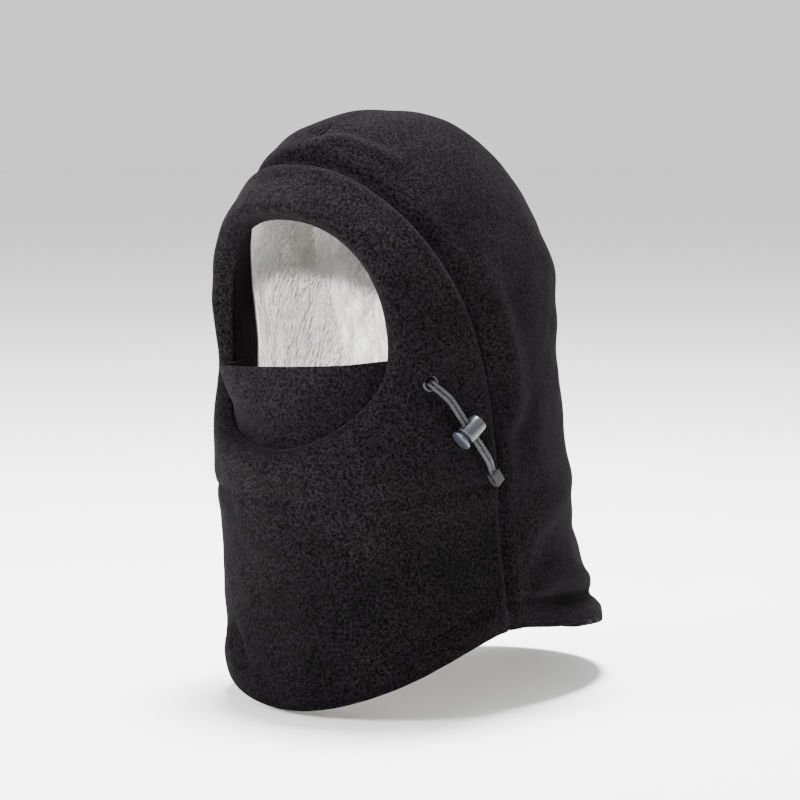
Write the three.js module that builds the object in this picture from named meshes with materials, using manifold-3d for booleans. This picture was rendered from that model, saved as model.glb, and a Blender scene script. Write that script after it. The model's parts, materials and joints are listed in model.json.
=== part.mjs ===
// Winter balaclava: fleece hood with a drawn face opening, sherpa lining,
// sewn-in lower face mask, elastic drawcord, eyelet and sprung cord lock.
// Millimetres. +Z up, the face looks along -Y, the wearer's left is +X.
// The origin is where the top of the wearer's head touches the lining.
import * as THREE from "three";
import { mergeVertices } from "three/addons/utils/BufferGeometryUtils.js";
import Module from "manifold-3d";

const wasm = await Module();
wasm.setup();

// ---- cloth thicknesses and the spaces between the layers ----
const fleeceThickness = 3;
const liningThickness = 5.1;
const facingThickness = 2.4;
const layerSpace = 0.9;
const seamGap = 0.4;
const partGap = 0.3;

// ---- hood body ----
const crownHeight = 9;
const domeBaseHeight = -118;
const bodyHeights = [-118, -180, -240, -300, -350];
const frontReach = [-112, -113, -108, -102, -98];
const backReach = [99, 108, 121, 136, 150];
const halfWidths = [89, 86, 86, 92, 99];
const middleLine = [-10, -7, -3, 1, 5];
const domeFrontPower = 0.62;
const domeBackPower = 1.2;
const domeSidePower = 0.85;
const frontSquareness = 2.4;
const backSquareness = 2.1;
const crownFrontSquareness = 1.8;
const crownBackSquareness = 1.8;

// ---- hem ----
const hemAngles = [0, 45, 90, 125, 180];
const hemHeights = [-333, -315, -287, -291, -315];
const backHemFlare = 7;
const hemFlareHeight = 18;
const hemFacingHeight = 16;
const hemRollBulge = 2.2;
const hemStitchDip = 0.9;

// ---- face opening ----
const openingHalfWidth = 71;
const openingTop = -50;
const openingBottom = -181;
const openingWidestHeight = -128;
const openingTopSquareness = 2.4;
const openingBottomSquareness = 2;
const rimReturnWidth = 3.6;
const facingWidth = 25;
const facingSideExtra = 12;
const facingSideSpread = 4;
const facingLiningGap = 2.4;
const tunnelSlack = 1.7;

// ---- side seam ----
const seamTopHeight = -19;
const seamSideHeight = -200;
const seamSideAngle = 90;
const seamRoundness = 2.4;
const seamDip = 1.4;
const seamDipWidth = 4;
const crownSeamDip = 0.8;

// ---- padded face surround and the ridge behind the side seam ----
const surroundRise = 24;
const surroundHeights = [-20, -60, -105, -140, -185, -215];
const surroundBulges = [4, 6, 5, 0.5, 3, 0.5];
const ridgeHeight = 2.4;
const ridgeDistance = 22;
const ridgeWidth = 9;

// ---- lower face mask ----
const maskTopHeight = -134;
const maskTopTilt = 5;
const maskBottomHeight = -207;
const maskThickness = 2.6;
const maskTopHalfWidth = 78;
const maskBottomAngle = 80;
const maskBulge = 10.5;
const maskBulgeRise = 26;

// ---- drawcord, eyelet, cord lock and tab ----
const cordDiameter = 2.3;
const strandSpace = 0.3;
const eyeletAngle = 65;
const eyeletHeight = -141;
const eyeletCordRoom = 1.4;
const eyeletWall = 0.5;
const eyeletFlangeWidth = 1.75;
const eyeletFlangeThickness = 0.9;
const washerThickness = 0.6;
const tabAngle = 87.5;
const tabHeight = -198;
const lockStation = 35;
const lockBodyDiameter = 11;
const lockBoreDiameter = 7.9;
const lockStemDiameter = 7.3;
const lockClosedEnd = -8.7;
const lockEndWall = 1.3;
const lockMouth = 5;
const lockTravel = 1.8;
const lockSlotClearance = 0.3;
const buttonEndWall = 1.2;
const buttonDiameter = 13;
const buttonOval = 0.86;
const buttonThickness = 2.6;
const springWire = 0.45;
const springDiameter = 5.6;
const springTurns = 2;
const tabLength = 9;
const tabStrip = 1;
const tabCordRoom = 0.9;
const tabSideRoom = 0.9;
const tabFold = 1.6;
const tabLift = 1.3;

// The tunnel behind the rim is as deep as the cord and its slack.
const tunnelDepth = cordDiameter + tunnelSlack;
// The eyelet lets two strands through side by side.
const eyeletHole = 2 * cordDiameter + strandSpace + eyeletCordRoom;
const eyeletFlange = eyeletHole + 2 * eyeletFlangeWidth;
// The lock's slots pass both strands, and the tab folds round one.
const lockSlotHalfLength = cordDiameter + strandSpace / 2 + lockSlotClearance;
const lockSlotHeight = cordDiameter + 2 * lockSlotClearance;
const tabWidth = 2 * (cordDiameter + tabSideRoom);
const tabHeightOverall = 2 * tabStrip + cordDiameter + tabCordRoom;

// ---- mesh fineness: a wider hood gets more columns, so the layers stay apart ----
const ringColumns = 4 * Math.round(Math.max(...halfWidths) / 7.6);
const smallSides = 24;

const radians = (degrees) => (degrees * Math.PI) / 180;
const clamp = (value, low, high) => Math.min(high, Math.max(low, value));
const mix = (a, b, t) => a + (b - a) * t;
const vec = (x, y, z) => new THREE.Vector3(x, y, z);

function smooth(low, high, value) {
  const t = clamp((value - low) / (high - low), 0, 1);
  return t * t * (3 - 2 * t);
}

// A smooth curve through named stations, level at the first one.
function station(keys, values, key) {
  const sign = Math.sign(keys[keys.length - 1] - keys[0]);
  const last = keys.length - 1;
  const k = clamp(key * sign, keys[0] * sign, keys[last] * sign) * sign;
  let i = 0;
  while (i < last - 1 && (k - keys[i + 1]) * sign > 0) {
    i += 1;
  }
  const slope = (j) => {
    if (j <= 0 || j >= last) {
      return j <= 0 ? 0 : (values[last] - values[last - 1]) / (keys[last] - keys[last - 1]);
    }
    return (values[j + 1] - values[j - 1]) / (keys[j + 1] - keys[j - 1]);
  };
  const width = keys[i + 1] - keys[i];
  const t = (k - keys[i]) / width;
  const a = 2 * t ** 3 - 3 * t ** 2 + 1;
  const b = t ** 3 - 2 * t ** 2 + t;
  const c = -2 * t ** 3 + 3 * t ** 2;
  const d = t ** 3 - t ** 2;
  return a * values[i] + b * width * slope(i) + c * values[i + 1] + d * width * slope(i + 1);
}

function hemHeight(degrees) {
  const angle = Math.abs(degrees);
  const level = hemHeights.length - 1;
  if (angle > hemAngles[level - 1]) {
    const t = smooth(hemAngles[level - 1] - 8, hemAngles[level], angle);
    return mix(station(hemAngles, hemHeights, hemAngles[level - 1]), hemHeights[level], t);
  }
  return station(hemAngles, hemHeights, angle);
}

// The level outline of the hood at one height.
function section(height) {
  const domeHeight = crownHeight - domeBaseHeight;
  const c = clamp((height - domeBaseHeight) / domeHeight, 0, 1);
  const rise = Math.sqrt(Math.max(0, 1 - c * c));
  const below = Math.min(height, domeBaseHeight);
  const reach = (values, power) => {
    const wide = station(bodyHeights, values, below);
    return wide * rise ** power;
  };
  return {
    front: reach(frontReach, domeFrontPower),
    back: reach(backReach, domeBackPower),
    middle: reach(middleLine, 1),
    half: station(bodyHeights, halfWidths, below) * rise ** domeSidePower,
    frontPower: mix(crownFrontSquareness, frontSquareness, rise),
    backPower: mix(crownBackSquareness, backSquareness, rise),
  };
}

// Angle round the hood: 0 at the front, 90 at the wearer's left, 180 behind.
function flareAt(degrees, height) {
  const behind = smooth(95, 165, Math.abs(degrees));
  return backHemFlare * behind * Math.exp(-Math.max(0, height - hemHeight(degrees)) / hemFlareHeight);
}

function pointAt(degrees, height) {
  const cut = section(height);
  const c = Math.cos(radians(degrees));
  const s = Math.sin(radians(degrees));
  const flare = flareAt(degrees, height);
  const power = 2 / (c > 0 ? cut.frontPower : cut.backPower);
  const reach = c > 0 ? cut.front - cut.middle : cut.back - cut.middle;
  const x = cut.half * Math.abs(s) ** power * Math.sign(s);
  const y = cut.middle + reach * Math.abs(c) ** power;
  return vec(x * (1 + flare / 180), y + flare * (c > 0 ? 0 : Math.abs(c)), height);
}

// How far out a point is: under 1 inside the smooth hood body, over 1 outside.
function level(point) {
  if (point.z >= crownHeight) {
    return 9;
  }
  const cut = section(point.z);
  const ahead = point.y < cut.middle;
  const reach = ahead ? cut.middle - cut.front : cut.back - cut.middle;
  const power = ahead ? cut.frontPower : cut.backPower;
  const x = Math.abs(point.x) / Math.max(cut.half, 1e-6);
  const y = Math.abs(point.y - cut.middle) / Math.max(reach, 1e-6);
  return x ** power + y ** power;
}

function axisOf(point) {
  return vec(0, 0, Math.min(point.z, domeBaseHeight));
}

// Any point moved along its own ray from the middle of the hood to its skin.
function onBody(point) {
  const axis = axisOf(point);
  const way = point.clone().sub(axis).normalize();
  let low = 0;
  let high = 260;
  for (let step = 0; step < 40; step += 1) {
    const middle = (low + high) / 2;
    const probe = axis.clone().addScaledVector(way, middle);
    if (level(probe) < 1) {
      low = middle;
    } else {
      high = middle;
    }
  }
  return axis.addScaledVector(way, low);
}

function share(point) {
  const axis = axisOf(point);
  return point.distanceTo(axis) / onBody(point).distanceTo(axis);
}

function outward(point) {
  const step = 0.8;
  const slope = ["x", "y", "z"].map((key) => {
    const ahead = point.clone();
    const behind = point.clone();
    ahead[key] += step;
    behind[key] -= step;
    return share(ahead) - share(behind);
  });
  return vec(...slope).normalize();
}

function flareShift(point) {
  const cut = section(point.z);
  const degrees = (Math.atan2(Math.abs(point.x), cut.middle - point.y) * 180) / Math.PI;
  return flareAt(degrees, point.z);
}

// ---- curves on the hood ----
function seamPoint(t) {
  const turn = Math.min(t, 1) * (Math.PI / 2);
  const degrees = seamSideAngle * Math.sin(turn) ** (2 / seamRoundness);
  const rise = seamTopHeight - seamSideHeight;
  const curved = seamSideHeight + rise * Math.cos(turn) ** (2 / seamRoundness);
  const straight = (t - 1) * (seamSideHeight - hemHeight(seamSideAngle));
  return pointAt(degrees, t > 1 ? seamSideHeight - straight : curved);
}

function rimPoint(t) {
  const turn = t * Math.PI;
  const top = turn < Math.PI / 2;
  const power = 2 / (top ? openingTopSquareness : openingBottomSquareness);
  const x = openingHalfWidth * Math.abs(Math.sin(turn)) ** power;
  const reach = (top ? openingTop : openingBottom) - openingWidestHeight;
  const z = openingWidestHeight + reach * Math.abs(Math.cos(turn)) ** power;
  return onBodyLevel(x, z);
}

// The point of the front of the hood at a given sideways place and height.
function onBodyLevel(x, z) {
  const cut = section(z);
  const across = clamp(Math.abs(x) / cut.half, 0, 1) ** cut.frontPower;
  const y = cut.middle + (cut.front - cut.middle) * (1 - across) ** (1 / cut.frontPower);
  return vec(x, y, z);
}

function evenly(curve, count, from = 0, to = 1) {
  const fine = [];
  const steps = 400;
  for (let i = 0; i <= steps; i += 1) {
    fine.push(curve(mix(from, to, i / steps)));
  }
  return respace(fine, count);
}

function respace(points, count) {
  const lengths = [0];
  for (let i = 1; i < points.length; i += 1) {
    lengths.push(lengths[i - 1] + points[i].distanceTo(points[i - 1]));
  }
  const total = lengths[lengths.length - 1];
  const result = [];
  let j = 0;
  for (let i = 0; i <= count; i += 1) {
    const target = (total * i) / count;
    while (j < points.length - 2 && lengths[j + 1] < target) {
      j += 1;
    }
    const t = clamp((target - lengths[j]) / Math.max(lengths[j + 1] - lengths[j], 1e-9), 0, 1);
    result.push(points[j].clone().lerp(points[j + 1], t));
  }
  return result;
}

const seamLine = evenly(seamPoint, 80, 0, 2);
const rimLine = evenly(rimPoint, 80);

function distanceToLine(point, line) {
  const onLeft = vec(Math.abs(point.x), point.y, point.z);
  let best = Infinity;
  const along = vec(0, 0, 0);
  for (let i = 1; i < line.length; i += 1) {
    const piece = new THREE.Line3(line[i - 1], line[i]);
    piece.closestPointToPoint(onLeft, true, along);
    best = Math.min(best, along.distanceTo(onLeft));
  }
  return best;
}

// ---- what the outer skin does on top of the smooth body ----
function surroundBulge(point) {
  const amount = station(surroundHeights, surroundBulges, point.z);
  return amount * smooth(0, surroundRise, distanceToLine(point, seamLine));
}

function hemBulge(point, behind) {
  const degrees = (Math.atan2(Math.abs(point.x), -point.y) * 180) / Math.PI;
  const above = point.z - hemHeight(degrees);
  const roll = (behind ? hemRollBulge : 0.4) * Math.exp(-(((above - hemFacingHeight / 2) / 5) ** 2));
  const dip = hemStitchDip * Math.exp(-(((above - hemFacingHeight) / 2.5) ** 2));
  return roll - dip;
}

function skinBulge(point, behind) {
  const fromSeam = distanceToLine(point, seamLine);
  let bulge = -seamDip * Math.exp(-((fromSeam / seamDipWidth) ** 2));
  bulge += hemBulge(point, behind);
  if (behind) {
    const fade = smooth(-270, -230, point.z);
    bulge += fade * ridgeHeight * Math.exp(-(((fromSeam - ridgeDistance) / ridgeWidth) ** 2));
    bulge -= crownSeamDip * Math.exp(-((point.x / seamDipWidth) ** 2));
  } else {
    bulge += surroundBulge(point);
  }
  return bulge;
}

// A point below the smooth body by a depth, with the flare of the back hem.
function layered(point, depth, bulge = 0) {
  const normal = outward(point);
  const flare = flareShift(point);
  const shift = vec(normal.x, normal.y, 0).multiplyScalar(flare);
  return point.clone().addScaledVector(normal, bulge - depth).add(shift);
}

// ---- patches: four border curves filled in and laid on the body ----
function patch(top, bottom, start, end, columns, rows) {
  const grid = [];
  for (let i = 0; i <= rows; i += 1) {
    const v = i / rows;
    const line = [];
    for (let j = 0; j <= columns; j += 1) {
      const u = j / columns;
      const across = top[j].clone().lerp(bottom[j], v);
      const down = start[i].clone().lerp(end[i], u);
      const upper = top[0].clone().lerp(top[columns], u);
      const lower = bottom[0].clone().lerp(bottom[columns], u);
      const corners = upper.lerp(lower, v);
      line.push(onBody(across.add(down).sub(corners)));
    }
    grid.push(line);
  }
  return grid;
}

// A closed solid between two grids of points with the same rows and columns.
function solidBetween(outer, inner) {
  const rows = outer.length;
  const columns = outer[0].length;
  const points = [...outer.flat(), ...inner.flat()];
  const offset = rows * columns;
  const at = (i, j, layer) => layer * offset + i * columns + j;
  const faces = [];
  const quad = (a, b, c, d) => faces.push([a, b, c], [a, c, d]);
  for (let i = 0; i < rows - 1; i += 1) {
    for (let j = 0; j < columns - 1; j += 1) {
      quad(at(i, j, 0), at(i + 1, j, 0), at(i + 1, j + 1, 0), at(i, j + 1, 0));
      quad(at(i, j, 1), at(i, j + 1, 1), at(i + 1, j + 1, 1), at(i + 1, j, 1));
    }
  }
  const border = [];
  for (let j = 0; j < columns - 1; j += 1) {
    border.push([0, j]);
  }
  for (let i = 0; i < rows - 1; i += 1) {
    border.push([i, columns - 1]);
  }
  for (let j = columns - 1; j > 0; j -= 1) {
    border.push([rows - 1, j]);
  }
  for (let i = rows - 1; i > 0; i -= 1) {
    border.push([i, 0]);
  }
  border.forEach((cell, k) => {
    const next = border[(k + 1) % border.length];
    quad(at(...cell, 0), at(...next, 0), at(...next, 1), at(...cell, 1));
  });
  return closedGeometry(points, faces);
}

// A closed ring: each column is a closed outline, the last joins the first.
function solidRing(outlines) {
  const columns = outlines.length;
  const count = outlines[0].length;
  const faces = [];
  for (let i = 0; i < columns; i += 1) {
    for (let j = 0; j < count; j += 1) {
      const a = i * count + j;
      const b = ((i + 1) % columns) * count + j;
      const c = ((i + 1) % columns) * count + ((j + 1) % count);
      const d = i * count + ((j + 1) % count);
      faces.push([a, b, c], [a, c, d]);
    }
  }
  return closedGeometry(outlines.flat(), faces);
}

function signedVolume(points, faces) {
  return faces.reduce((sum, [a, b, c]) => {
    return sum + points[a].dot(points[b].clone().cross(points[c])) / 6;
  }, 0);
}

function closedGeometry(points, faces) {
  const merged = [];
  const byPlace = new Map();
  const index = points.map((point) => {
    const place = [point.x, point.y, point.z].map((value) => Math.round(value * 1e4)).join();
    if (!byPlace.has(place)) {
      byPlace.set(place, merged.length);
      merged.push(point);
    }
    return byPlace.get(place);
  });
  const kept = faces
    .map((face) => face.map((k) => index[k]))
    .filter(([a, b, c]) => a !== b && b !== c && c !== a);
  const facing = signedVolume(merged, kept) < 0 ? kept.map(([a, b, c]) => [a, c, b]) : kept;
  const geometry = new THREE.BufferGeometry();
  const places = merged.flatMap((point) => [point.x, point.y, point.z]);
  geometry.setAttribute("position", new THREE.Float32BufferAttribute(places, 3));
  geometry.setIndex(facing.flat());
  return geometry;
}

const mirrored = (point) => vec(-point.x, point.y, point.z);

// The same shape with its seam points joined and its faces pointing out.
function faced(geometry) {
  const bare = new THREE.BufferGeometry();
  bare.setAttribute("position", geometry.getAttribute("position").clone());
  if (geometry.index) {
    bare.setIndex(geometry.index.clone());
  }
  const joined = mergeVertices(bare, 1e-4);
  const place = joined.getAttribute("position");
  const points = [];
  for (let i = 0; i < place.count; i += 1) {
    points.push(new THREE.Vector3().fromBufferAttribute(place, i));
  }
  const faces = [];
  for (let i = 0; i < joined.index.count; i += 3) {
    faces.push([joined.index.getX(i), joined.index.getX(i + 1), joined.index.getX(i + 2)]);
  }
  return closedGeometry(points, faces);
}

// ---- booleans for the hard little parts ----
function toManifold(geometry) {
  const bare = new THREE.BufferGeometry();
  bare.setAttribute("position", geometry.getAttribute("position").clone());
  if (geometry.index) {
    bare.setIndex(geometry.index.clone());
  }
  const merged = mergeVertices(bare, 1e-4);
  return new wasm.Manifold(
    new wasm.Mesh({
      numProp: 3,
      vertProperties: new Float32Array(merged.getAttribute("position").array),
      triVerts: new Uint32Array(merged.index.array),
    }),
  );
}

function fromManifold(solid) {
  const mesh = solid.getMesh();
  const geometry = new THREE.BufferGeometry();
  geometry.setAttribute("position", new THREE.Float32BufferAttribute(mesh.vertProperties, 3));
  geometry.setIndex(Array.from(mesh.triVerts));
  return geometry;
}

const cutAway = (geometry, ...tools) => {
  const result = tools.reduce((solid, tool) => solid.subtract(toManifold(tool)), toManifold(geometry));
  return fromManifold(result);
};

const group = new THREE.Group();
group.name = "balaclava";

function addPart(name, geometry, color, roughness, metalness = 0) {
  const flat = geometry.index ? geometry : mergeVertices(geometry, 1e-4);
  flat.computeVertexNormals();
  const material = new THREE.MeshStandardMaterial({ color, roughness, metalness });
  material.name = `${name}_finish`;
  const mesh = new THREE.Mesh(flat, material);
  mesh.name = name;
  group.add(mesh);
}

// ---- front panel: face surround and chest in one piece of fleece ----
const halfRing = ringColumns / 2;
const seamShare = Math.round(halfRing * 0.65);
const openingCentre = -118;

// Sideways distance from the middle of the front, along the level outline.
function frontArc(point) {
  const cut = section(point.z);
  const across = clamp(Math.abs(point.x) / cut.half, 0, 1) ** (cut.frontPower / 2);
  const end = (Math.asin(across) * 180) / Math.PI;
  let total = 0;
  for (let i = 1; i <= 16; i += 1) {
    const here = pointAt((end * i) / 16, point.z);
    total += here.distanceTo(pointAt((end * (i - 1)) / 16, point.z));
  }
  return total;
}

// The direction of a point seen from the middle of the opening: 0 is straight up.
const direction = (point) => Math.atan2(frontArc(point), point.z - openingCentre);

function towards(line, angle) {
  const angles = line.map(direction);
  let i = 1;
  while (i < line.length - 1 && angles[i] < angle) {
    i += 1;
  }
  const t = clamp((angle - angles[i - 1]) / (angles[i] - angles[i - 1]), 0, 1);
  return line[i - 1].clone().lerp(line[i], t);
}

const seamEdge = evenly(seamPoint, 120, 0, 2);
const hemEdge = evenly((t) => {
  const degrees = mix(seamSideAngle, 0, t);
  return pointAt(degrees, hemHeight(degrees));
}, 60);
const cornerDirection = direction(hemEdge[0]);
const columnDirections = [];
for (let column = 0; column <= halfRing; column += 1) {
  const early = (cornerDirection * column) / seamShare;
  const late = mix(cornerDirection, Math.PI, (column - seamShare) / (halfRing - seamShare));
  columnDirections.push(column <= seamShare ? early : late);
}
const outerEdge = columnDirections.map((angle, column) => {
  if (column === seamShare) {
    return hemEdge[0].clone();
  }
  return towards(column < seamShare ? seamEdge : hemEdge, angle);
});
const rimEdge = columnDirections.map((angle) => towards(rimLine, angle));
const surroundRows = 12;
const surroundTop = evenly((t) => pointAt(0, mix(openingTop, seamTopHeight, t)), surroundRows);
const chestLine = evenly((t) => {
  const height = mix(openingBottom, hemHeights[0], t);
  return pointAt(0, height);
}, surroundRows);

const frontGrid = patch(rimEdge, outerEdge, surroundTop, chestLine, halfRing, surroundRows);

// Place on the front at a distance from the rim, for one column.
function fromRim(column, distance) {
  const line = frontGrid.map((row) => row[column]);
  let left = distance;
  for (let i = 1; i < line.length; i += 1) {
    const length = line[i].distanceTo(line[i - 1]);
    if (left <= length || i === line.length - 1) {
      return onBody(line[i - 1].clone().lerp(line[i], left / length));
    }
    left -= length;
  }
  return line[line.length - 1].clone();
}

function columnLength(column) {
  let total = 0;
  for (let i = 1; i < frontGrid.length; i += 1) {
    total += frontGrid[i][column].distanceTo(frontGrid[i - 1][column]);
  }
  return total;
}

const rimInnerDepth = fleeceThickness + tunnelDepth + facingThickness;
const cordFromRim = rimReturnWidth + cordDiameter / 2 + 2.6;
// The line down the front panel that passes nearest the eyelet, and how far along it.
const eyeletSpot = (() => {
  const eyelet = pointAt(eyeletAngle, eyeletHeight);
  let best = { column: 0, distance: 0, apart: Infinity };
  for (let column = 0; column <= halfRing; column += 1) {
    for (let distance = 10; distance < 60; distance += 0.5) {
      const apart = fromRim(column, distance).distanceTo(eyelet);
      best = apart < best.apart ? { column, distance, apart } : best;
    }
  }
  return best;
})();
const rimColumnAtEyelet = eyeletSpot.column;

function frontOutline(column) {
  const length = columnLength(column) - seamGap / 2;
  const start = rimReturnWidth * 3;
  const shares = [0, 0.1, 0.24, 0.4, 0.56, 0.72, 0.86, 0.95, 1];
  const outerShares = shares.map((part) => mix(start, length, part)).reverse();
  const outline = outerShares.map((distance) => {
    const point = fromRim(column, distance);
    return layered(point, 0, skinBulge(point, false));
  });
  const rimBulge = surroundBulge(fromRim(column, rimReturnWidth));
  const nose = [
    [6.4, 0.2 - rimBulge],
    [3.4, 1.4 - rimBulge],
    [1.2, 3.6 - rimBulge],
    [0.3, 6.2 - rimBulge / 2],
    [0.5, rimInnerDepth - 1.2],
    [1.5, rimInnerDepth],
    [rimReturnWidth, rimInnerDepth],
    [rimReturnWidth, fleeceThickness + 1.4],
    [rimReturnWidth + 1.4, fleeceThickness],
  ];
  nose.forEach(([distance, depth]) => {
    outline.push(layered(fromRim(column, distance), depth));
  });
  const innerShares = [0, 0.12, 0.25, 0.38, 0.51, 0.64, 0.77, 0.89, 1];
  innerShares.forEach((part) => {
    outline.push(layered(fromRim(column, mix(start, length, part)), fleeceThickness));
  });
  return outline;
}

function fullRing(outlineOf) {
  const half = [];
  for (let column = 0; column <= halfRing; column += 1) {
    half.push(outlineOf(column));
  }
  half[0].forEach((point) => point.setX(0));
  half[halfRing].forEach((point) => point.setX(0));
  const otherHalf = half.slice(1, halfRing).reverse();
  return [...half, ...otherHalf.map((outline) => outline.map(mirrored))];
}

let frontPanel = solidRing(fullRing(frontOutline));

// ---- facing: the inner strip that closes the drawcord tunnel ----
const facingStart = rimReturnWidth + partGap + 0.1;

// The facing is wider at the sides, where the cord leaves its tunnel.
function facingEnd(column) {
  const fromEyelet = (column - rimColumnAtEyelet) / facingSideSpread;
  return facingStart + facingWidth + facingSideExtra * Math.exp(-(fromEyelet ** 2));
}

function facingOutline(column) {
  const from = facingStart;
  const to = facingEnd(column);
  const steps = [0, 0.33, 0.67, 1].map((part) => mix(from, to, part));
  const depth = fleeceThickness + tunnelDepth;
  const outer = steps.map((distance) => layered(fromRim(column, distance), depth));
  const inner = steps.map((distance) => layered(fromRim(column, distance), depth + facingThickness));
  return [...outer.reverse(), ...inner];
}
const openingFacing = solidRing(fullRing(facingOutline));

// ---- back panels: crown, nape and rear hem, one each side ----
const backRows = 26;
const backColumns = Math.round(halfWidths[0] / 9.9);
const domeRise = crownHeight - domeBaseHeight;
const crownTurn = Math.acos((seamTopHeight - domeBaseHeight) / domeRise);
const overCrown = (degrees, turn) => {
  return pointAt(degrees, domeBaseHeight + domeRise * Math.cos(turn) - 1e-6);
};

// The centre line from the top of the side seams over the crown and down the nape.
function crownPoint(t) {
  const split = 0.42;
  if (t < split) {
    return overCrown(0, mix(crownTurn, 0, t / split));
  }
  const rest = (t - split) / (1 - split);
  if (rest < 0.45) {
    return overCrown(180, radians(90 * (rest / 0.45)));
  }
  return pointAt(180, mix(domeBaseHeight, hemHeights[4], (rest - 0.45) / 0.55));
}

const hemLine = (from, to, count, above = 0) => evenly((t) => {
  const degrees = mix(from, to, t);
  return pointAt(degrees, hemHeight(degrees) + above);
}, count);

function backGrid() {
  const crown = evenly(crownPoint, backRows);
  const seam = evenly(seamPoint, backRows, 0, 2);
  const top = Array.from({ length: backColumns + 1 }, () => seam[0].clone());
  const hem = hemLine(180, seamSideAngle, backColumns).map(onBody);
  crown[backRows] = hem[0].clone();
  const grid = patch(top, hem, crown, seam, backColumns, backRows);
  return grid.map((line) => inset(line, seamGap / 2));
}

// Both ends of a row of points pulled in along the row.
function inset(line, amount) {
  const last = line.length - 1;
  const length = line[0].distanceTo(line[last]);
  if (length < amount * 3) {
    return line;
  }
  const result = line.map((point) => point.clone());
  const pull = (a, b) => onBody(a.clone().add(b.clone().sub(a).setLength(amount)));
  result[0] = pull(line[0], line[1]);
  result[last] = pull(line[last], line[last - 1]);
  return result;
}

const backPlaces = backGrid();
const backTip = backPlaces[1].map((point) => onBody(point.clone().lerp(backPlaces[0][0], 0.9)));
const backRowsUsed = [backTip, ...backPlaces.slice(1)];

function backPanel(side) {
  const place = (point, depth, bulge) => {
    const laid = layered(point, depth, bulge);
    laid.x = Math.max(laid.x, seamGap / 2);
    return side > 0 ? laid : mirrored(laid);
  };
  const outer = backRowsUsed.map((line) => line.map((point) => place(point, 0, skinBulge(point, true))));
  const inner = backRowsUsed.map((line) => line.map((point) => place(point, fleeceThickness, 0)));
  return solidBetween(outer, inner);
}

// ---- sherpa lining, a left and a right half ----
const liningRows = 22;
const liningColumns = 2 * backColumns;
const liningDepth = fleeceThickness + layerSpace;

function liningGrid() {
  const front = [];
  for (let column = 0; column <= halfRing; column += 1) {
    front.push(fromRim(column, facingEnd(column) + facingLiningGap));
  }
  const top = respace(front, liningColumns);
  const bottom = hemLine(180, 0, liningColumns, hemFacingHeight + 1).map(onBody);
  const crownAll = evenly(crownPoint, 60).filter((point, i) => i > 0);
  const crown = respace([top[0], ...crownAll.slice(1, -6), bottom[0]], liningRows);
  const chest = respace([top[liningColumns], bottom[liningColumns]], liningRows);
  return patch(top, bottom, crown, chest, liningColumns, liningRows);
}

const liningPlaces = liningGrid();

function lining(side) {
  const place = (point, depth) => {
    const laid = layered(point, depth);
    laid.x = Math.max(laid.x, seamGap / 2);
    return side > 0 ? laid : mirrored(laid);
  };
  const outer = liningPlaces.map((line) => line.map((point) => place(point, liningDepth)));
  const inner = liningPlaces.map((line) => line.map((point) => place(point, liningDepth + liningThickness)));
  return solidBetween(outer, inner);
}

// ---- hem facing: the turned strip behind the lower edge, all the way round ----
function hemFacing() {
  const outlines = [];
  for (let i = 0; i < ringColumns; i += 1) {
    const degrees = (360 * i) / ringColumns;
    const side = degrees > 180 ? degrees - 360 : degrees;
    const bottom = hemHeight(side) + partGap;
    const top = hemHeight(side) + hemFacingHeight;
    const depth = fleeceThickness + layerSpace + 0.2;
    const inside = depth + fleeceThickness;
    const corners = [[bottom, depth], [top, depth], [top, inside], [bottom, inside]];
    outlines.push(corners.map(([height, deep]) => layered(onBody(pointAt(side, height)), deep)));
  }
  return solidRing(outlines);
}

// ---- lower face mask: spans the opening, sewn inside along the chest ----
const maskRows = 9;
const maskColumns = 20;

function maskPlace(u, v) {
  const side = u * 2 - 1;
  const top = maskTopHeight + maskTopTilt * side;
  const height = mix(top, maskBottomHeight, v);
  const upper = onBodyLevel(maskTopHalfWidth * side, height);
  const lower = pointAt(maskBottomAngle * side, height);
  return onBody(upper.lerp(lower, smooth(0.15, 1, v)));
}

function insideOpening(point) {
  const wide = openingHalfWidth;
  const top = point.z > openingWidestHeight;
  const reach = Math.abs((top ? openingTop : openingBottom) - openingWidestHeight);
  const power = top ? openingTopSquareness : openingBottomSquareness;
  const x = Math.abs(point.x) / wide;
  const z = Math.abs(point.z - openingWidestHeight) / reach;
  return x ** power + z ** power < 1 ? distanceToLine(point, rimLine) : 0;
}

function faceMask() {
  const outer = [];
  const inner = [];
  const deep = rimInnerDepth + layerSpace;
  for (let i = 0; i <= maskRows; i += 1) {
    outer.push([]);
    inner.push([]);
    for (let j = 0; j <= maskColumns; j += 1) {
      const point = maskPlace(j / maskColumns, i / maskRows);
      const bulge = maskBulge * smooth(2, maskBulgeRise, insideOpening(point));
      outer[i].push(layered(point, deep - bulge));
      inner[i].push(layered(point, deep + maskThickness - bulge));
    }
  }
  return solidBetween(outer, inner);
}

// ---- drawcord line: eyelet, strands, lock and tab ----
const eyeletPlace = pointAt(eyeletAngle, eyeletHeight);
const eyeletNormal = outward(eyeletPlace);
const tabPlace = pointAt(tabAngle, tabHeight);
const tabNormal = outward(tabPlace);
const strandMiddle = onBody(eyeletPlace.clone().lerp(tabPlace, 0.5));
const lockNormal = outward(strandMiddle);
const strandWay = tabPlace.clone().sub(eyeletPlace).projectOnPlane(lockNormal).normalize();
const lockAxis = strandWay.clone().cross(lockNormal).normalize();
const lockRadius = lockBodyDiameter / 2;
const strandOffset = (cordDiameter + strandSpace) / 2;
const skinAtLock = surroundBulge(strandMiddle);
const lockPlace = eyeletPlace.clone().addScaledVector(strandWay, lockStation);
const lockLift = onBody(lockPlace).sub(lockPlace).dot(lockNormal);
lockPlace.addScaledVector(lockNormal, lockLift + skinAtLock + lockRadius + 1);

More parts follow.
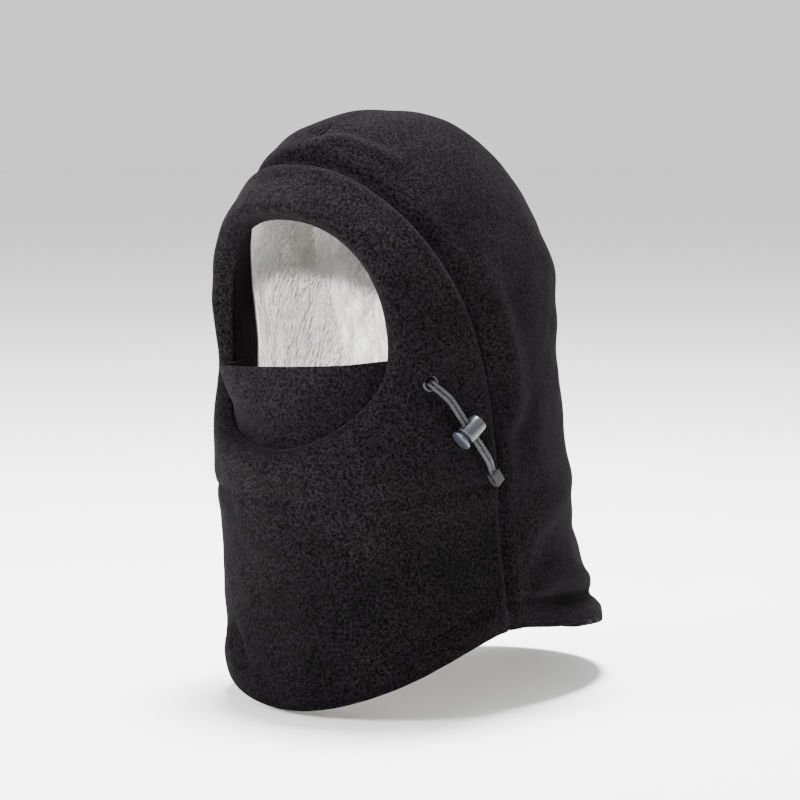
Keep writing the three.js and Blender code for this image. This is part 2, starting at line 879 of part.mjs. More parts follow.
const lockInward = strandWay.clone().cross(lockAxis);
const lockFrame = new THREE.Matrix4().makeBasis(strandWay, lockAxis, lockInward).setPosition(lockPlace);
const inLock = (along, across, out) => vec(along, across, -out).applyMatrix4(lockFrame);

// A shape drawn round +Y, turned so that +Y points out of the eyelet.
function aimed(geometry) {
  const turn = new THREE.Quaternion().setFromUnitVectors(vec(0, 1, 0), eyeletNormal);
  const placed = new THREE.Matrix4().compose(eyeletPlace, turn, vec(1, 1, 1));
  return geometry.applyMatrix4(placed);
}

const eyeletBulge = skinBulge(eyeletPlace, false);
const punchRadius = eyeletHole / 2 + eyeletWall + partGap;
const seatRadius = eyeletFlange / 2 + partGap;
const punch = new THREE.CylinderGeometry(punchRadius, punchRadius, 30, smallSides);
const washerSeat = new THREE.CylinderGeometry(seatRadius, seatRadius, 6, smallSides);
washerSeat.translate(0, -fleeceThickness - 3, 0);
const flangeSeat = new THREE.CylinderGeometry(seatRadius, seatRadius, 6, smallSides);
flangeSeat.translate(0, eyeletBulge + 3, 0);
frontPanel = cutAway(frontPanel, aimed(punch), aimed(washerSeat), aimed(flangeSeat));

const ring = (outline) => faced(new THREE.LatheGeometry(
  [...outline, outline[0]].map(([radius, height]) => new THREE.Vector2(radius, height)), smallSides));
const holeRadius = eyeletHole / 2;
const barrelRadius = holeRadius + eyeletWall;
const eyelet = aimed(ring([
  [holeRadius, -fleeceThickness - partGap - washerThickness],
  [barrelRadius, -fleeceThickness - partGap - washerThickness],
  [barrelRadius, eyeletBulge + partGap],
  [eyeletFlange / 2, eyeletBulge + partGap],
  [eyeletFlange / 2, eyeletBulge + partGap + eyeletFlangeThickness * 0.5],
  [eyeletFlange / 2 - 0.5, eyeletBulge + partGap + eyeletFlangeThickness],
  [holeRadius + 0.5, eyeletBulge + partGap + eyeletFlangeThickness],
  [holeRadius, eyeletBulge + partGap + eyeletFlangeThickness * 0.5],
]));
const washer = aimed(ring([
  [barrelRadius + 0.1, -fleeceThickness - partGap - washerThickness],
  [eyeletFlange / 2, -fleeceThickness - partGap - washerThickness],
  [eyeletFlange / 2, -fleeceThickness - partGap],
  [barrelRadius + 0.1, -fleeceThickness - partGap],
]));

// ---- cord lock: barrel, push button with its stem, and the spring ----
const lathe = (outline) => faced(new THREE.LatheGeometry(
  outline.map(([radius, height]) => new THREE.Vector2(radius, height)), smallSides));
const slotBlock = (from, to) => {
  const block = new THREE.BoxGeometry(buttonDiameter * 2, to - from, lockSlotHeight);
  return block.translate(0, (from + to) / 2, 0);
};
const boreRadius = lockBoreDiameter / 2;
const barrel = lathe([
  [0, lockClosedEnd],
  [lockRadius * 0.62, lockClosedEnd],
  [lockRadius * 0.9, lockClosedEnd + 0.9],
  [lockRadius, lockClosedEnd + 2.4],
  [lockRadius, lockMouth - 0.6],
  [lockRadius - 0.5, lockMouth],
  [boreRadius, lockMouth],
  [boreRadius, lockClosedEnd + lockEndWall],
  [0, lockClosedEnd + lockEndWall],
]);
const lockBody = cutAway(barrel, slotBlock(-lockSlotHalfLength, lockSlotHalfLength));
const stemRadius = lockStemDiameter / 2;
const stemEnd = -lockSlotHalfLength - buttonEndWall;
const capFloor = lockMouth + partGap + lockTravel;
const cap = lathe([
  [0, stemEnd],
  [stemRadius, stemEnd],
  [stemRadius, capFloor],
  [buttonDiameter / 2 - 0.4, capFloor],
  [buttonDiameter / 2, capFloor + 0.7],
  [buttonDiameter / 2 - 0.4, capFloor + buttonThickness - 0.8],
  [buttonDiameter / 2 - 2, capFloor + buttonThickness - 0.1],
  [0, capFloor + buttonThickness],
]);
const ovalCap = cap.clone();
const capPlaces = ovalCap.getAttribute("position");
for (let i = 0; i < capPlaces.count; i += 1) {
  const fromAxis = Math.hypot(capPlaces.getX(i), capPlaces.getZ(i));
  if (capPlaces.getY(i) > capFloor - 0.01 && fromAxis > stemRadius + 0.1) {
    capPlaces.setZ(i, capPlaces.getZ(i) * buttonOval);
  }
}
const lockButton = cutAway(ovalCap, slotBlock(-lockSlotHalfLength, lockSlotHalfLength + lockTravel));

class Route extends THREE.CatmullRomCurve3 {
  getPointAt(t, target) {
    return this.getPoint(t, target);
  }
  getTangentAt(t, target) {
    return this.getTangent(t, target);
  }
}

function sweep(points, diameter, sides, steps) {
  const section2d = new THREE.Shape();
  for (let i = 0; i < sides; i += 1) {
    const turn = (Math.PI * 2 * i) / sides;
    const x = (diameter / 2) * Math.cos(turn);
    const y = (diameter / 2) * Math.sin(turn);
    if (i === 0) {
      section2d.moveTo(x, y);
    } else {
      section2d.lineTo(x, y);
    }
  }
  section2d.closePath();
  const path = new Route(points, false, "catmullrom", 0.5);
  const options = { steps, bevelEnabled: false, extrudePath: path, curveSegments: 1 };
  return new THREE.ExtrudeGeometry(section2d, options);
}

const springStart = lockClosedEnd + lockEndWall + partGap / 2 + springWire / 2;
const springStop = stemEnd - partGap / 2 - springWire / 2;
const springPoints = [];
const springSteps = springTurns * 12;
for (let i = 0; i <= springSteps; i += 1) {
  const turn = (Math.PI * 2 * i) / 12;
  const height = mix(springStart, springStop, i / springSteps);
  const radius = (springDiameter - springWire) / 2;
  springPoints.push(vec(radius * Math.cos(turn), height, radius * Math.sin(turn)));
}
const lockSpring = sweep(springPoints, springWire, 6, springSteps);

// ---- drawcord: round the opening in its tunnel, out, and back round the tab ----
const cordDepth = fleeceThickness + tunnelDepth * 0.62;
const tunnelPoint = (column, distance = cordFromRim) => {
  const spot = Math.abs(column);
  const low = Math.floor(spot);
  const high = Math.min(low + 1, halfRing);
  const point = fromRim(low, distance).lerp(fromRim(high, distance), spot - low);
  const laid = layered(onBody(point), cordDepth);
  return column < 0 ? mirrored(laid) : laid;
};

const cordJoin = 0.09;

// The strands pass the eyelet side by side along the lock's axis.
const eyeletAcross = lockAxis.clone().projectOnPlane(eyeletNormal).normalize();
const atEyelet = (side, out, along = 0) => eyeletPlace.clone()
  .addScaledVector(eyeletNormal, out)
  .addScaledVector(eyeletAcross, side * strandOffset)
  .addScaledVector(strandWay, along);

function strand(side) {
  const points = [];
  const away = side;
  const shift = (distance) => eyeletAcross.clone().multiplyScalar(side * distance);
  points.push(atEyelet(side, -cordDepth + 0.1).add(shift(3.4)));
  points.push(atEyelet(side, -cordDepth + 0.5).add(shift(1.5)));
  points.push(atEyelet(side, -cordDepth + 1.6).add(shift(0.35)));
  points.push(atEyelet(side, -fleeceThickness + 0.6));
  points.push(atEyelet(side, 0.2));
  points.push(atEyelet(side, eyeletBulge + 1.8));
  points.push(atEyelet(side, eyeletBulge + 3.6, 0.8));
  points.push(atEyelet(side, eyeletBulge + 5.2, 2.6));
  [-25, -19, -12, -4, 4, 12, 20].forEach((along) => {
    points.push(inLock(along, away * strandOffset, 0));
  });
  return points;
}

const tabCentre = tabPlace.clone().addScaledVector(tabNormal, tabHeightOverall / 2 + tabLift);
const tabAlong = strandWay.clone().projectOnPlane(tabNormal).normalize();
const tabAcross = lockAxis.clone().projectOnPlane(tabNormal).projectOnPlane(tabAlong).normalize();
const bightSpan = strandOffset;
const bight = [];
const bightTurns = 6;
const bightEnd = tabFold - partGap - cordDiameter / 2;
const inTab = (along, across, out) => tabCentre.clone()
  .addScaledVector(tabAlong, along)
  .addScaledVector(tabAcross, across)
  .addScaledVector(tabNormal, out);
for (let i = 0; i <= bightTurns; i += 1) {
  const turn = Math.PI * (i / bightTurns);
  const along = bightEnd - bightSpan * 1.25 * (1 - Math.sin(turn));
  bight.push(inTab(along, -bightSpan * Math.cos(turn), 0));
}
const approach = (side) => [
  inLock(25, side * strandOffset, -0.4),
  inTab(-tabLength / 2 - 1.5, side * strandOffset, 0.3),
];

function tunnelRun(from, to, step) {
  const points = [];
  const count = Math.round(Math.abs(to - from) / step);
  for (let i = 0; i <= count; i += 1) {
    points.push(tunnelPoint(mix(from, to, i / count)));
  }
  return points;
}

const upperLeave = rimColumnAtEyelet - 3;
const lowerLeave = rimColumnAtEyelet + 3;
const farColumn = 12;
const overTop = [
  ...tunnelRun(-farColumn + cordJoin, -1, 1).slice(0, -1),
  ...tunnelRun(-1, 0, 1),
  ...tunnelRun(0, upperLeave, 1).slice(1),
];
const underChin = [
  ...tunnelRun(lowerLeave, halfRing, 1),
  ...tunnelRun(-halfRing, -farColumn - cordJoin, 1).slice(1),
];
const reach = (side) => {
  const column = rimColumnAtEyelet + side * 1.5;
  return [
    tunnelPoint(column, mix(cordFromRim, 18, 0.35)),
    tunnelPoint(column * 0.4 + rimColumnAtEyelet * 0.6, 19),
  ];
};
const cordPoints = [
  ...overTop,
  ...reach(-1),
  ...strand(-1),
  ...approach(-1),
  ...bight,
  ...approach(1).reverse(),
  ...strand(1).reverse(),
  ...reach(1).reverse(),
  ...underChin,
];
const drawcord = sweep(cordPoints, cordDiameter, 8, cordPoints.length - 1);

// ---- tab: a strip folded over the end of the cord and caught in the side seam ----
function tabShape() {
  const end = tabLength / 2;
  const high = tabHeightOverall / 2;
  const gap = high - tabStrip;
  const outline = new THREE.Shape();
  outline.moveTo(-end, -high);
  outline.lineTo(end - 0.8, -high);
  outline.lineTo(end, -high + 0.8);
  outline.lineTo(end, high - 0.8);
  outline.lineTo(end - 0.8, high);
  outline.lineTo(-end, high);
  outline.lineTo(-end, gap);
  outline.lineTo(tabFold - 0.6, gap);
  outline.lineTo(tabFold, gap - 0.6);
  outline.lineTo(tabFold, -gap + 0.6);
  outline.lineTo(tabFold - 0.6, -gap);
  outline.lineTo(-end, -gap);
  outline.closePath();
  const shape = new THREE.ExtrudeGeometry(outline, { depth: tabWidth, bevelEnabled: false });
  shape.translate(0, 0, -tabWidth / 2);
  const frame = new THREE.Matrix4().makeBasis(tabAlong, tabNormal, tabAlong.clone().cross(tabNormal));
  frame.setPosition(tabCentre);
  return shape.applyMatrix4(frame);
}

const charcoal = 0x2b292c;
addPart("front_panel", frontPanel, charcoal, 0.95);
addPart("back_panel_left", backPanel(1), charcoal, 0.95);
addPart("back_panel_right", backPanel(-1), charcoal, 0.95);
addPart("opening_facing", openingFacing, 0x232124, 0.95);
addPart("hem_facing", hemFacing(), 0x232124, 0.95);
addPart("lining_left", lining(1), 0xe4e1db, 1);
addPart("lining_right", lining(-1), 0xe4e1db, 1);
addPart("face_mask", faceMask(), 0x2a282b, 0.95);
addPart("drawcord", drawcord, 0x8d8f94, 0.6);
addPart("eyelet", eyelet, 0x3a3a3e, 0.35, 0.9);
addPart("eyelet_washer", washer, 0x3a3a3e, 0.4, 0.9);
addPart("cord_tab", tabShape(), 0x2b292c, 0.8);
addPart("lock_body", lockBody.applyMatrix4(lockFrame), 0x1b1d22, 0.4);
addPart("lock_button", lockButton.applyMatrix4(lockFrame), 0x1b1d22, 0.4);
addPart("lock_spring", lockSpring.applyMatrix4(lockFrame), 0xb0b2b5, 0.3, 1);

export default group;
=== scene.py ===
# %% [markdown]
# # A winter balaclava in fleece
#
# A hood that covers head and neck. The outside is charcoal fleece: a front panel
# that runs round the face and down the chest, and two back panels that meet on
# the crown and the nape. Inside is a long-haired sherpa lining. A lower face mask
# is sewn in behind the opening. A drawcord runs in a tunnel round the face, comes
# out at an eyelet, and goes through a sprung cord lock to a tab.
#
# The imported frame gives every size and place. Each cloth piece starts from its
# plain solid in the frame, is rounded, and is then worked in code.

import json
import math

import bmesh
import bpy
import numpy as np
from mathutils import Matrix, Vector
from mathutils.bvhtree import BVHTree
from mathutils.kdtree import KDTree


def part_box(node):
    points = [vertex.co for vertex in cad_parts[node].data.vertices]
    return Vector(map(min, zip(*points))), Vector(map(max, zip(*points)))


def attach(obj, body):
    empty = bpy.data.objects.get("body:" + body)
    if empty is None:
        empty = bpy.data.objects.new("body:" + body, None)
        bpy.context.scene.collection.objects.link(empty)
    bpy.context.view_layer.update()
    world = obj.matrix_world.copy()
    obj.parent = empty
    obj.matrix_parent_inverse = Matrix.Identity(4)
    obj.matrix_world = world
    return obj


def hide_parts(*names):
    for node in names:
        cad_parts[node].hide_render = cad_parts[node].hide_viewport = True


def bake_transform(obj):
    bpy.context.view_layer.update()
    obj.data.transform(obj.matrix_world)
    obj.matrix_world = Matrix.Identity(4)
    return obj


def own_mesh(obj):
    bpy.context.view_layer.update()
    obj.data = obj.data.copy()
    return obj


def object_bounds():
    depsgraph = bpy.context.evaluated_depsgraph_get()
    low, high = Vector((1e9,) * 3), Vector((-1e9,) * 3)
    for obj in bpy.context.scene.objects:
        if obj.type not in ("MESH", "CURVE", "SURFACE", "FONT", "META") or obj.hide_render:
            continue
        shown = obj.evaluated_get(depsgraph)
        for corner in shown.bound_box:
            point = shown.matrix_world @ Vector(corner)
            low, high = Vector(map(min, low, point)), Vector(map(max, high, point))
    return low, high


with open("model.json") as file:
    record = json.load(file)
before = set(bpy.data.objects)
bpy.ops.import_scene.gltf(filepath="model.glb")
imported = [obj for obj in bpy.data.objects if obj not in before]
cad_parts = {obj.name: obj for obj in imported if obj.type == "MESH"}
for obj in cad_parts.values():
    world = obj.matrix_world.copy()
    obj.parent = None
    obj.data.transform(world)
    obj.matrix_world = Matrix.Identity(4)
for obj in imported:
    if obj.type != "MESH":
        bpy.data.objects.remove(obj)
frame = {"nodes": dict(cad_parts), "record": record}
cad_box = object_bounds()
mm = 0.001
print("nodes", sorted(frame["nodes"]))
print("box, mm", [[round(v / mm, 1) for v in corner] for corner in cad_box])

# %% [markdown]
# ## Camera
#
# The camera stands a little above the chin, turned to the wearer's left. A short
# lens close by would make the near side of the hood bulge, so it is a long lens
# from 1.8 m away.

# %% camera
turn, tilt = math.radians(44.3), math.radians(6.7)
away = Vector(
    (
        math.sin(turn) * math.cos(tilt),
        -math.cos(turn) * math.cos(tilt),
        math.sin(tilt),
    )
)
aim = Vector((0, 0, -0.1623))
camera_distance = 1.8
lens_data = bpy.data.cameras.new("camera")
lens_data.lens = 137.3
lens_data.sensor_width = 36
camera = bpy.data.objects.new("camera", lens_data)
camera.location = aim + away * camera_distance
camera.rotation_euler = away.to_track_quat("Z", "Y").to_euler()
bpy.context.scene.collection.objects.link(camera)
bpy.context.scene.camera = camera
print("camera at", [round(v, 3) for v in camera.location])

# %% [markdown]
# ## Floor and light
#
# A dark cloth swallows light, so its folds show only if one side is lit more than
# the other. A white surround could do that alone, but it flattens everything. Here
# it is helped by a soft key light from the front left, a strong one from above
# that draws the crown, and a weak one from the side. A narrow spot reaches through
# the opening, because the pale lining would else lie in the shade of the hood.


# %% floor
def paint(name):
    """A new material with its node tree and its shader."""
    material = bpy.data.materials.new(name)
    material.use_nodes = True
    return material, material.node_tree, material.node_tree.nodes["Principled BSDF"]


floor_reach = 6
floor_gap = 1.5 * mm
floor_mesh = bpy.data.meshes.new("floor")
floor_mesh.from_pydata(
    [(x * floor_reach, y * floor_reach, 0) for x, y in ((-1, -1), (1, -1), (1, 1), (-1, 1))],
    [],
    [(0, 1, 2, 3)],
)
floor = bpy.data.objects.new("floor", floor_mesh)
floor.location.z = cad_box[0][2] - floor_gap
bpy.context.scene.collection.objects.link(floor)
floor_paint, _, floor_shader = paint("pale_floor")
floor_shader.inputs["Base Color"].default_value = (0.93, 0.93, 0.93, 1)
floor_shader.inputs["Roughness"].default_value = 0.9
floor_mesh.materials.append(floor_paint)
print("floor at", round(floor.location.z / mm, 1), "mm")


# %% lights
def add_lamp(data, place, looks_at):
    """Hang a lamp at a place, turned to what it looks at."""
    lamp = bpy.data.objects.new(data.name, data)
    lamp.location = place
    lamp.rotation_euler = (Vector(place) - looks_at).to_track_quat("Z", "Y").to_euler()
    bpy.context.scene.collection.objects.link(lamp)


def soft_light(name, place, size, power):
    """A square area light that looks at the middle of the hood."""
    data = bpy.data.lights.new(name, "AREA")
    data.shape = "SQUARE"
    data.size = size
    data.energy = power
    add_lamp(data, place, aim)


soft_light("key", (-0.75, -1.7, 0.6), 0.6, 85)
soft_light("top", (-0.1, 0.15, 1.5), 0.5, 190)
soft_light("side", (1.9, 0.5, 0.9), 0.5, 5)
into = bpy.data.lights.new("into_the_opening", "SPOT")
into.energy = 900
into.spot_size = math.radians(7.5)
into.spot_blend = 1.0
into.shadow_soft_size = 0.12
add_lamp(into, (0.75, -1.55, 0.48), Vector((-0.03, -0.05, -0.125)))
world = bpy.data.worlds.new("studio")
bpy.context.scene.world = world
world.use_nodes = True
world.node_tree.nodes["Background"].inputs["Color"].default_value = (1, 1, 1, 1)
world.node_tree.nodes["Background"].inputs["Strength"].default_value = 1.1

# %% [markdown]
# ## Rounding a cloth solid
#
# The solids in the frame are coarse, with flat faces, and cloth has none. It could
# be draped by a simulation, but these panels are sewn to a lining that holds their
# shape. So `cloth_from` copies a solid, pairs its triangles into squares, and
# rounds it with a subdivision surface. The cut edges keep a soft crease, so the
# cloth stays as thick as it is cut.


# %% reading and moving the vertices of a mesh
def places(mesh):
    flat = np.empty(len(mesh.vertices) * 3)
    mesh.vertices.foreach_get("co", flat)
    return flat.reshape(-1, 3)


def facings(mesh):
    flat = np.empty(len(mesh.vertices) * 3)
    mesh.vertices.foreach_get("normal", flat)
    return flat.reshape(-1, 3)


def put_places(mesh, co):
    mesh.vertices.foreach_set("co", np.asarray(co, float).ravel())
    mesh.update()


def keep_smooth(mesh):
    mesh.polygons.foreach_set("use_smooth", [True] * len(mesh.polygons))


print("front panel as cut:", len(places(frame["nodes"]["front_panel"].data)), "vertices")


# %% cloth_from
merge_gap = 0.02 * mm
same_face_turn = math.radians(40)
same_face_skew = math.radians(80)


def baked(obj):
    """The object with its modifiers worked into its mesh."""
    graph = bpy.context.evaluated_depsgraph_get()
    mesh = bpy.data.meshes.new_from_object(obj.evaluated_get(graph))
    obj.modifiers.clear()
    old = obj.data
    obj.data = mesh
    mesh.name = obj.name
    bpy.data.meshes.remove(old)
    keep_smooth(mesh)
    return obj


def cloth_from(source, name, rounds, crease=0.45, sharp=50):
    """A rounded, finer copy of a node's solid, as a new object."""
    bm = bmesh.new()
    bm.from_mesh(frame["nodes"][source].data)
    bmesh.ops.remove_doubles(bm, verts=bm.verts, dist=merge_gap)
    bmesh.ops.join_triangles(
        bm,
        faces=bm.faces,
        angle_face_threshold=same_face_turn,
        angle_shape_threshold=same_face_skew,
    )
    bmesh.ops.recalc_face_normals(bm, faces=bm.faces)
    held = bm.edges.layers.float.new("crease_edge")
    for edge in bm.edges:
        if len(edge.link_faces) == 2 and edge.calc_face_angle(0) > math.radians(sharp):
            edge[held] = crease
    mesh = bpy.data.meshes.new(name)
    bm.to_mesh(mesh)
    bm.free()
    obj = bpy.data.objects.new(name, mesh)
    bpy.context.scene.collection.objects.link(obj)
    rounder = obj.modifiers.new("round", "SUBSURF")
    rounder.render_levels = max(1, rounds - (0))
    rounder.levels = rounder.render_levels
    return baked(obj)


# %% [markdown]
# ## The outer panels
#
# The front panel and the two back panels, in thick fleece. One shell for all three
# would be less work, but a real hood shows where it is sewn: each panel is its own
# piece, with its own edges, so the seams are real gaps between real edges.

# %% cut the outer panels
panel_rounds = 3
front = cloth_from("front_panel", "front_panel_fleece", panel_rounds)
back_left = cloth_from("back_panel_left", "back_panel_left_fleece", panel_rounds)
back_right = cloth_from("back_panel_right", "back_panel_right_fleece", panel_rounds)
outer_panels = [front, back_left, back_right]
for panel in outer_panels:
    print(panel.name, len(panel.data.vertices), "vertices")

# %% [markdown]
# ## An even hem
#
# A tailor trims the hem in one line after the side seams are closed, and it then
# hangs a little lower beside the nape. The rounding has pulled each panel's
# corners up, so the three pieces don't meet. Each panel's lower edge is measured
# all round, and drawn to one smooth line, less and less up the cloth.


# %% soft steps and hills
def bump(distance, width):
    """1 on a line, falling away softly over its width."""
    return np.exp(-((distance / width) ** 2))


def ease(low, high, value):
    """0 below low, 1 above high, and a soft rise between them."""
    t = np.clip((value - low) / (high - low), 0, 1)
    return t * t * (3 - 2 * t)


print("ease, a quarter of the way:", round(float(ease(0, 1, 0.25)), 3))


# %% an even hem
hem_steps = np.arange(-180, 180, 2.0)
hem_zone = 100 * mm
hem_window = 1.7
hem_reach = 60 * mm
nape_drop = 5 * mm
tip_drop = 3 * mm
drop_spread = 20


def round_the_hood(co):
    """Degrees round the hood: 0 in front, 90 at the wearer's left."""
    return np.degrees(np.arctan2(co[:, 0], -co[:, 1]))


def hem_outline(co):
    """The height of the lowest point of a piece at each step round the hood."""
    low = co[co[:, 2] < cad_box[0][2] + hem_zone]
    turns = round_the_hood(low)
    lowest = []
    for step in hem_steps:
        here = np.abs((turns - step + 180) % 360 - 180) < hem_window
        lowest.append(low[here, 2].min() if here.any() else np.nan)
    outline = np.array(lowest)
    for _ in range(3):
        beside = (np.roll(outline, 1) + np.roll(outline, -1)) / 2
        outline = np.where(np.isnan(beside), outline, (outline + beside) / 2)
    return outline


def evened(outline, spread):
    """A closed outline, smoothed over a number of steps."""
    steps = np.arange(-3 * spread, 3 * spread + 1)
    weights = np.exp(-0.5 * (steps / spread) ** 2)
    padded = np.pad(outline, 3 * spread, mode="wrap")
    return np.convolve(padded, weights / weights.sum(), "valid")


def level_hem(piece, offset=0.0):
    """Draw the lower edge of a piece to the wanted line, and the cloth above it
    by less and less."""
    co = places(piece.data)
    outline = hem_outline(co)
    known = ~np.isnan(outline)
    turns = round_the_hood(co)
    lowest = np.interp(turns, hem_steps[known], outline[known])
    wanted = np.interp(turns, hem_steps, wanted_hem, period=360) + offset
    pull = 1 - ease(0, hem_reach, co[:, 2] - lowest)
    co[:, 2] = np.maximum(co[:, 2] + (wanted - lowest) * pull, wanted)
    put_places(piece.data, co)


cut_hem = np.nanmin([hem_outline(places(panel.data)) for panel in outer_panels], axis=0)
beside_nape = bump(np.abs(hem_steps) - 118, drop_spread)
behind_nape = bump(np.abs(hem_steps) - 180, drop_spread)
wanted_hem = evened(cut_hem, 4) - nape_drop * beside_nape - tip_drop * behind_nape
for panel in outer_panels:
    level_hem(panel)
print("hem drawn by up to", round(np.abs(wanted_hem - cut_hem).max() / mm, 1), "mm")

# %% [markdown]
# ## Where the sewing lies
#
# Every groove, swelling and stitch follows a seam, the hem or the rim of the
# opening. They could be typed in as points, but then they would slip when a size
# changes. Instead they are found on the cut panels: a seam is where two panels
# nearly touch, and the hem is what faces down.


# %% near and far
def nearest(cloud, co):
    """For each place, the nearest point of a cloud and how far it is."""
    tree = KDTree(len(cloud))
    for i, point in enumerate(cloud):
        tree.insert(point, i)
    tree.balance()
    found = [tree.find(point) for point in co]
    return np.array([hit[0] for hit in found]), np.array([hit[2] for hit in found])


def distance_to(cloud, co):
    return nearest(cloud, co)[1]


def near_each_other(a, b, gap):
    """The points of a that lie within a gap of b."""
    return a[distance_to(b, a) < gap]


def ray_tree(obj):
    """What rays are cast at to find a place on a piece."""
    bm = bmesh.new()
    bm.from_mesh(obj.data)
    tree = BVHTree.FromBMesh(bm)
    bm.free()
    return tree


skins = [ray_tree(panel) for panel in outer_panels]
print("rays can find", len(skins), "panels")

# %% seams, hem and rim
seam_gap = 1.6 * mm
centre_half_width = 1.2 * mm
hem_line_zone = 70 * mm
opening_height = -0.118
rim_bottom = -0.2
front_places = places(front.data)
front_facings = facings(front.data)
left_places = places(back_left.data)
side_seam = near_each_other(left_places, front_places, seam_gap)
both_seams = np.vstack([side_seam, side_seam * (-1, 1, 1)])
centre_seam = left_places[left_places[:, 0] < centre_half_width]
hem_line = np.vstack([places(panel.data)[facings(panel.data)[:, 2] < -0.75] for panel in outer_panels])
hem_line = hem_line[hem_line[:, 2] < cad_box[0][2] + hem_line_zone]
opening_middle = np.array([0, front_places[:, 1].min(), opening_height])
to_middle = opening_middle - front_places
to_middle[:, 1] = 0
to_middle /= np.linalg.norm(to_middle, axis=1)[:, None]
faces_middle = (to_middle * front_facings).sum(1) > 0.9
rim_line = front_places[faces_middle & (front_places[:, 2] > rim_bottom)]
print("seam", len(side_seam), "centre", len(centre_seam), "hem", len(hem_line), "rim", len(rim_line))

# %% [markdown]
# ## Brushed fleece
#
# Fleece is a knitted cloth whose pile is brushed up and mats into small tufts. It
# has no gloss, but single tufts catch the light, and these highlights are painted
# into the colour as pale specks. Handled places wear a little paler. A picture of
# fleece would repeat and blur close up, so the colour comes from four sizes of
# noise, and three of them also raise the surface.


# %% shader helpers
def node(tree, kind, **values):
    """A new shader node, with its sockets and settings."""
    made = tree.nodes.new(kind)
    for key, value in values.items():
        if key in made.inputs:
            made.inputs[key].default_value = value
        else:
            setattr(made, key, value)
    return made


def noise(tree, scale, detail, rough, stretch=None):
    """Noise over the surface; stretch squeezes it along each axis."""
    made = node(tree, "ShaderNodeTexNoise", Scale=scale, Detail=detail, Roughness=rough)
    where = node(tree, "ShaderNodeTexCoord")
    if stretch is None:
        tree.links.new(where.outputs["Object"], made.inputs["Vector"])
        return made
    squeeze = node(tree, "ShaderNodeMapping", Scale=stretch)
    tree.links.new(where.outputs["Object"], squeeze.inputs["Vector"])
    tree.links.new(squeeze.outputs["Vector"], made.inputs["Vector"])
    return made


def ramp(tree, source, stops):
    """Colours for the values of a source."""
    made = node(tree, "ShaderNodeValToRGB")
    band = made.color_ramp
    while len(band.elements) < len(stops):
        band.elements.new(0.5)
    for element, (place, color) in zip(band.elements, stops):
        element.position = place
        element.color = (*color, 1)
    tree.links.new(source, made.inputs["Fac"])
    return made.outputs["Color"]


def relief(tree, shader, layers):
    """Bump layers, each a height, a strength and a depth in metres."""
    last = None
    for height, strength, depth in layers:
        made = node(tree, "ShaderNodeBump", Strength=strength, Distance=depth)
        tree.links.new(height, made.inputs["Height"])
        if last is not None:
            tree.links.new(last.outputs["Normal"], made.inputs["Normal"])
        last = made
    tree.links.new(last.outputs["Normal"], shader.inputs["Normal"])


def times(tree, first, second):
    """Two colours multiplied."""
    made = node(tree, "ShaderNodeMix", data_type="RGBA", blend_type="MULTIPLY")
    made.inputs["Factor"].default_value = 1
    tree.links.new(first, made.inputs[6])
    tree.links.new(second, made.inputs[7])
    return made.outputs[2]


def grey(value):
    return (value, value, value)


def dress(piece, material):
    """Give a piece one material in place of what it has."""
    piece.data.materials.clear()
    piece.data.materials.append(material)


print("a mid grey is", grey(0.18))


# %% fleece
def fleece(name, dark, light, sheen=0.05):
    """Brushed fleece: short matted pile with painted tuft highlights and worn patches."""
    material, tree, shader = paint(name)
    pile = noise(tree, 1500, 3, 0.75).outputs["Fac"]
    tufts = noise(tree, 620, 3, 0.65).outputs["Fac"]
    mats = noise(tree, 130, 3, 0.5).outputs["Fac"]
    patches = noise(tree, 26, 3, 0.5).outputs["Fac"]
    base = ramp(tree, tufts, [(0.38, dark), (0.66, light)])
    # painted highlights: pale specks where single tufts catch the light, multiplied into the colour
    painted_tuft_highlights = ramp(tree, pile, [(0.36, grey(0.3)), (0.66, grey(2.6))])
    worn = ramp(tree, patches, [(0.32, (0.8, 0.8, 0.81)), (0.68, (1.16, 1.13, 1.14))])
    colour = times(tree, times(tree, base, painted_tuft_highlights), worn)
    tree.links.new(colour, shader.inputs["Base Color"])
    shader.inputs["Roughness"].default_value = 0.95
    shader.inputs["Specular IOR Level"].default_value = 0.02
    shader.inputs["Sheen Weight"].default_value = sheen
    shader.inputs["Sheen Roughness"].default_value = 0.4
    shader.inputs["Sheen Tint"].default_value = (0.64, 0.6, 0.64, 1)
    relief(tree, shader, [(mats, 0.35, 0.0016), (tufts, 0.8, 0.0009), (pile, 0.6, 0.0004)])
    return material


charcoal = fleece("charcoal_fleece", (0.0004, 0.0004, 0.0004), (0.0058, 0.0051, 0.0057), 0.015)
inner_dark = fleece("inner_fleece", (0.001, 0.0006, 0.0007), (0.007, 0.0045, 0.005), 0.03)
print("fleece", charcoal.name, len(charcoal.node_tree.nodes), "nodes")

# %% [markdown]
# ## Folds
#
# A hood that has been worn keeps soft folds where it bends: beside the crown seam,
# across the nape, above the back hem and where the cord pulls at the eyelet. Noise
# alone would only make it lumpy. So each fold is a line laid on the cloth, like a
# rope or a groove under a blanket, and only the rest is noise.


# %% laying a line on the hood
ray_start = 0.4


def on_hood(trees, degrees, height):
    """The outer skin's place and facing at an angle round the hood and a height in
    metres, or nothing where a ray from outside finds no cloth."""
    way = Vector((math.sin(math.radians(degrees)), -math.cos(math.radians(degrees)), 0))
    start = Vector((0, 0, height)) + way * ray_start
    hits = [tree.ray_cast(start, -way) for tree in trees]
    hits = [hit for hit in hits if hit[0]]
    if not hits:
        return None
    place, facing, _, _ = min(hits, key=lambda hit: hit[3])
    return np.array(place), np.array(facing)


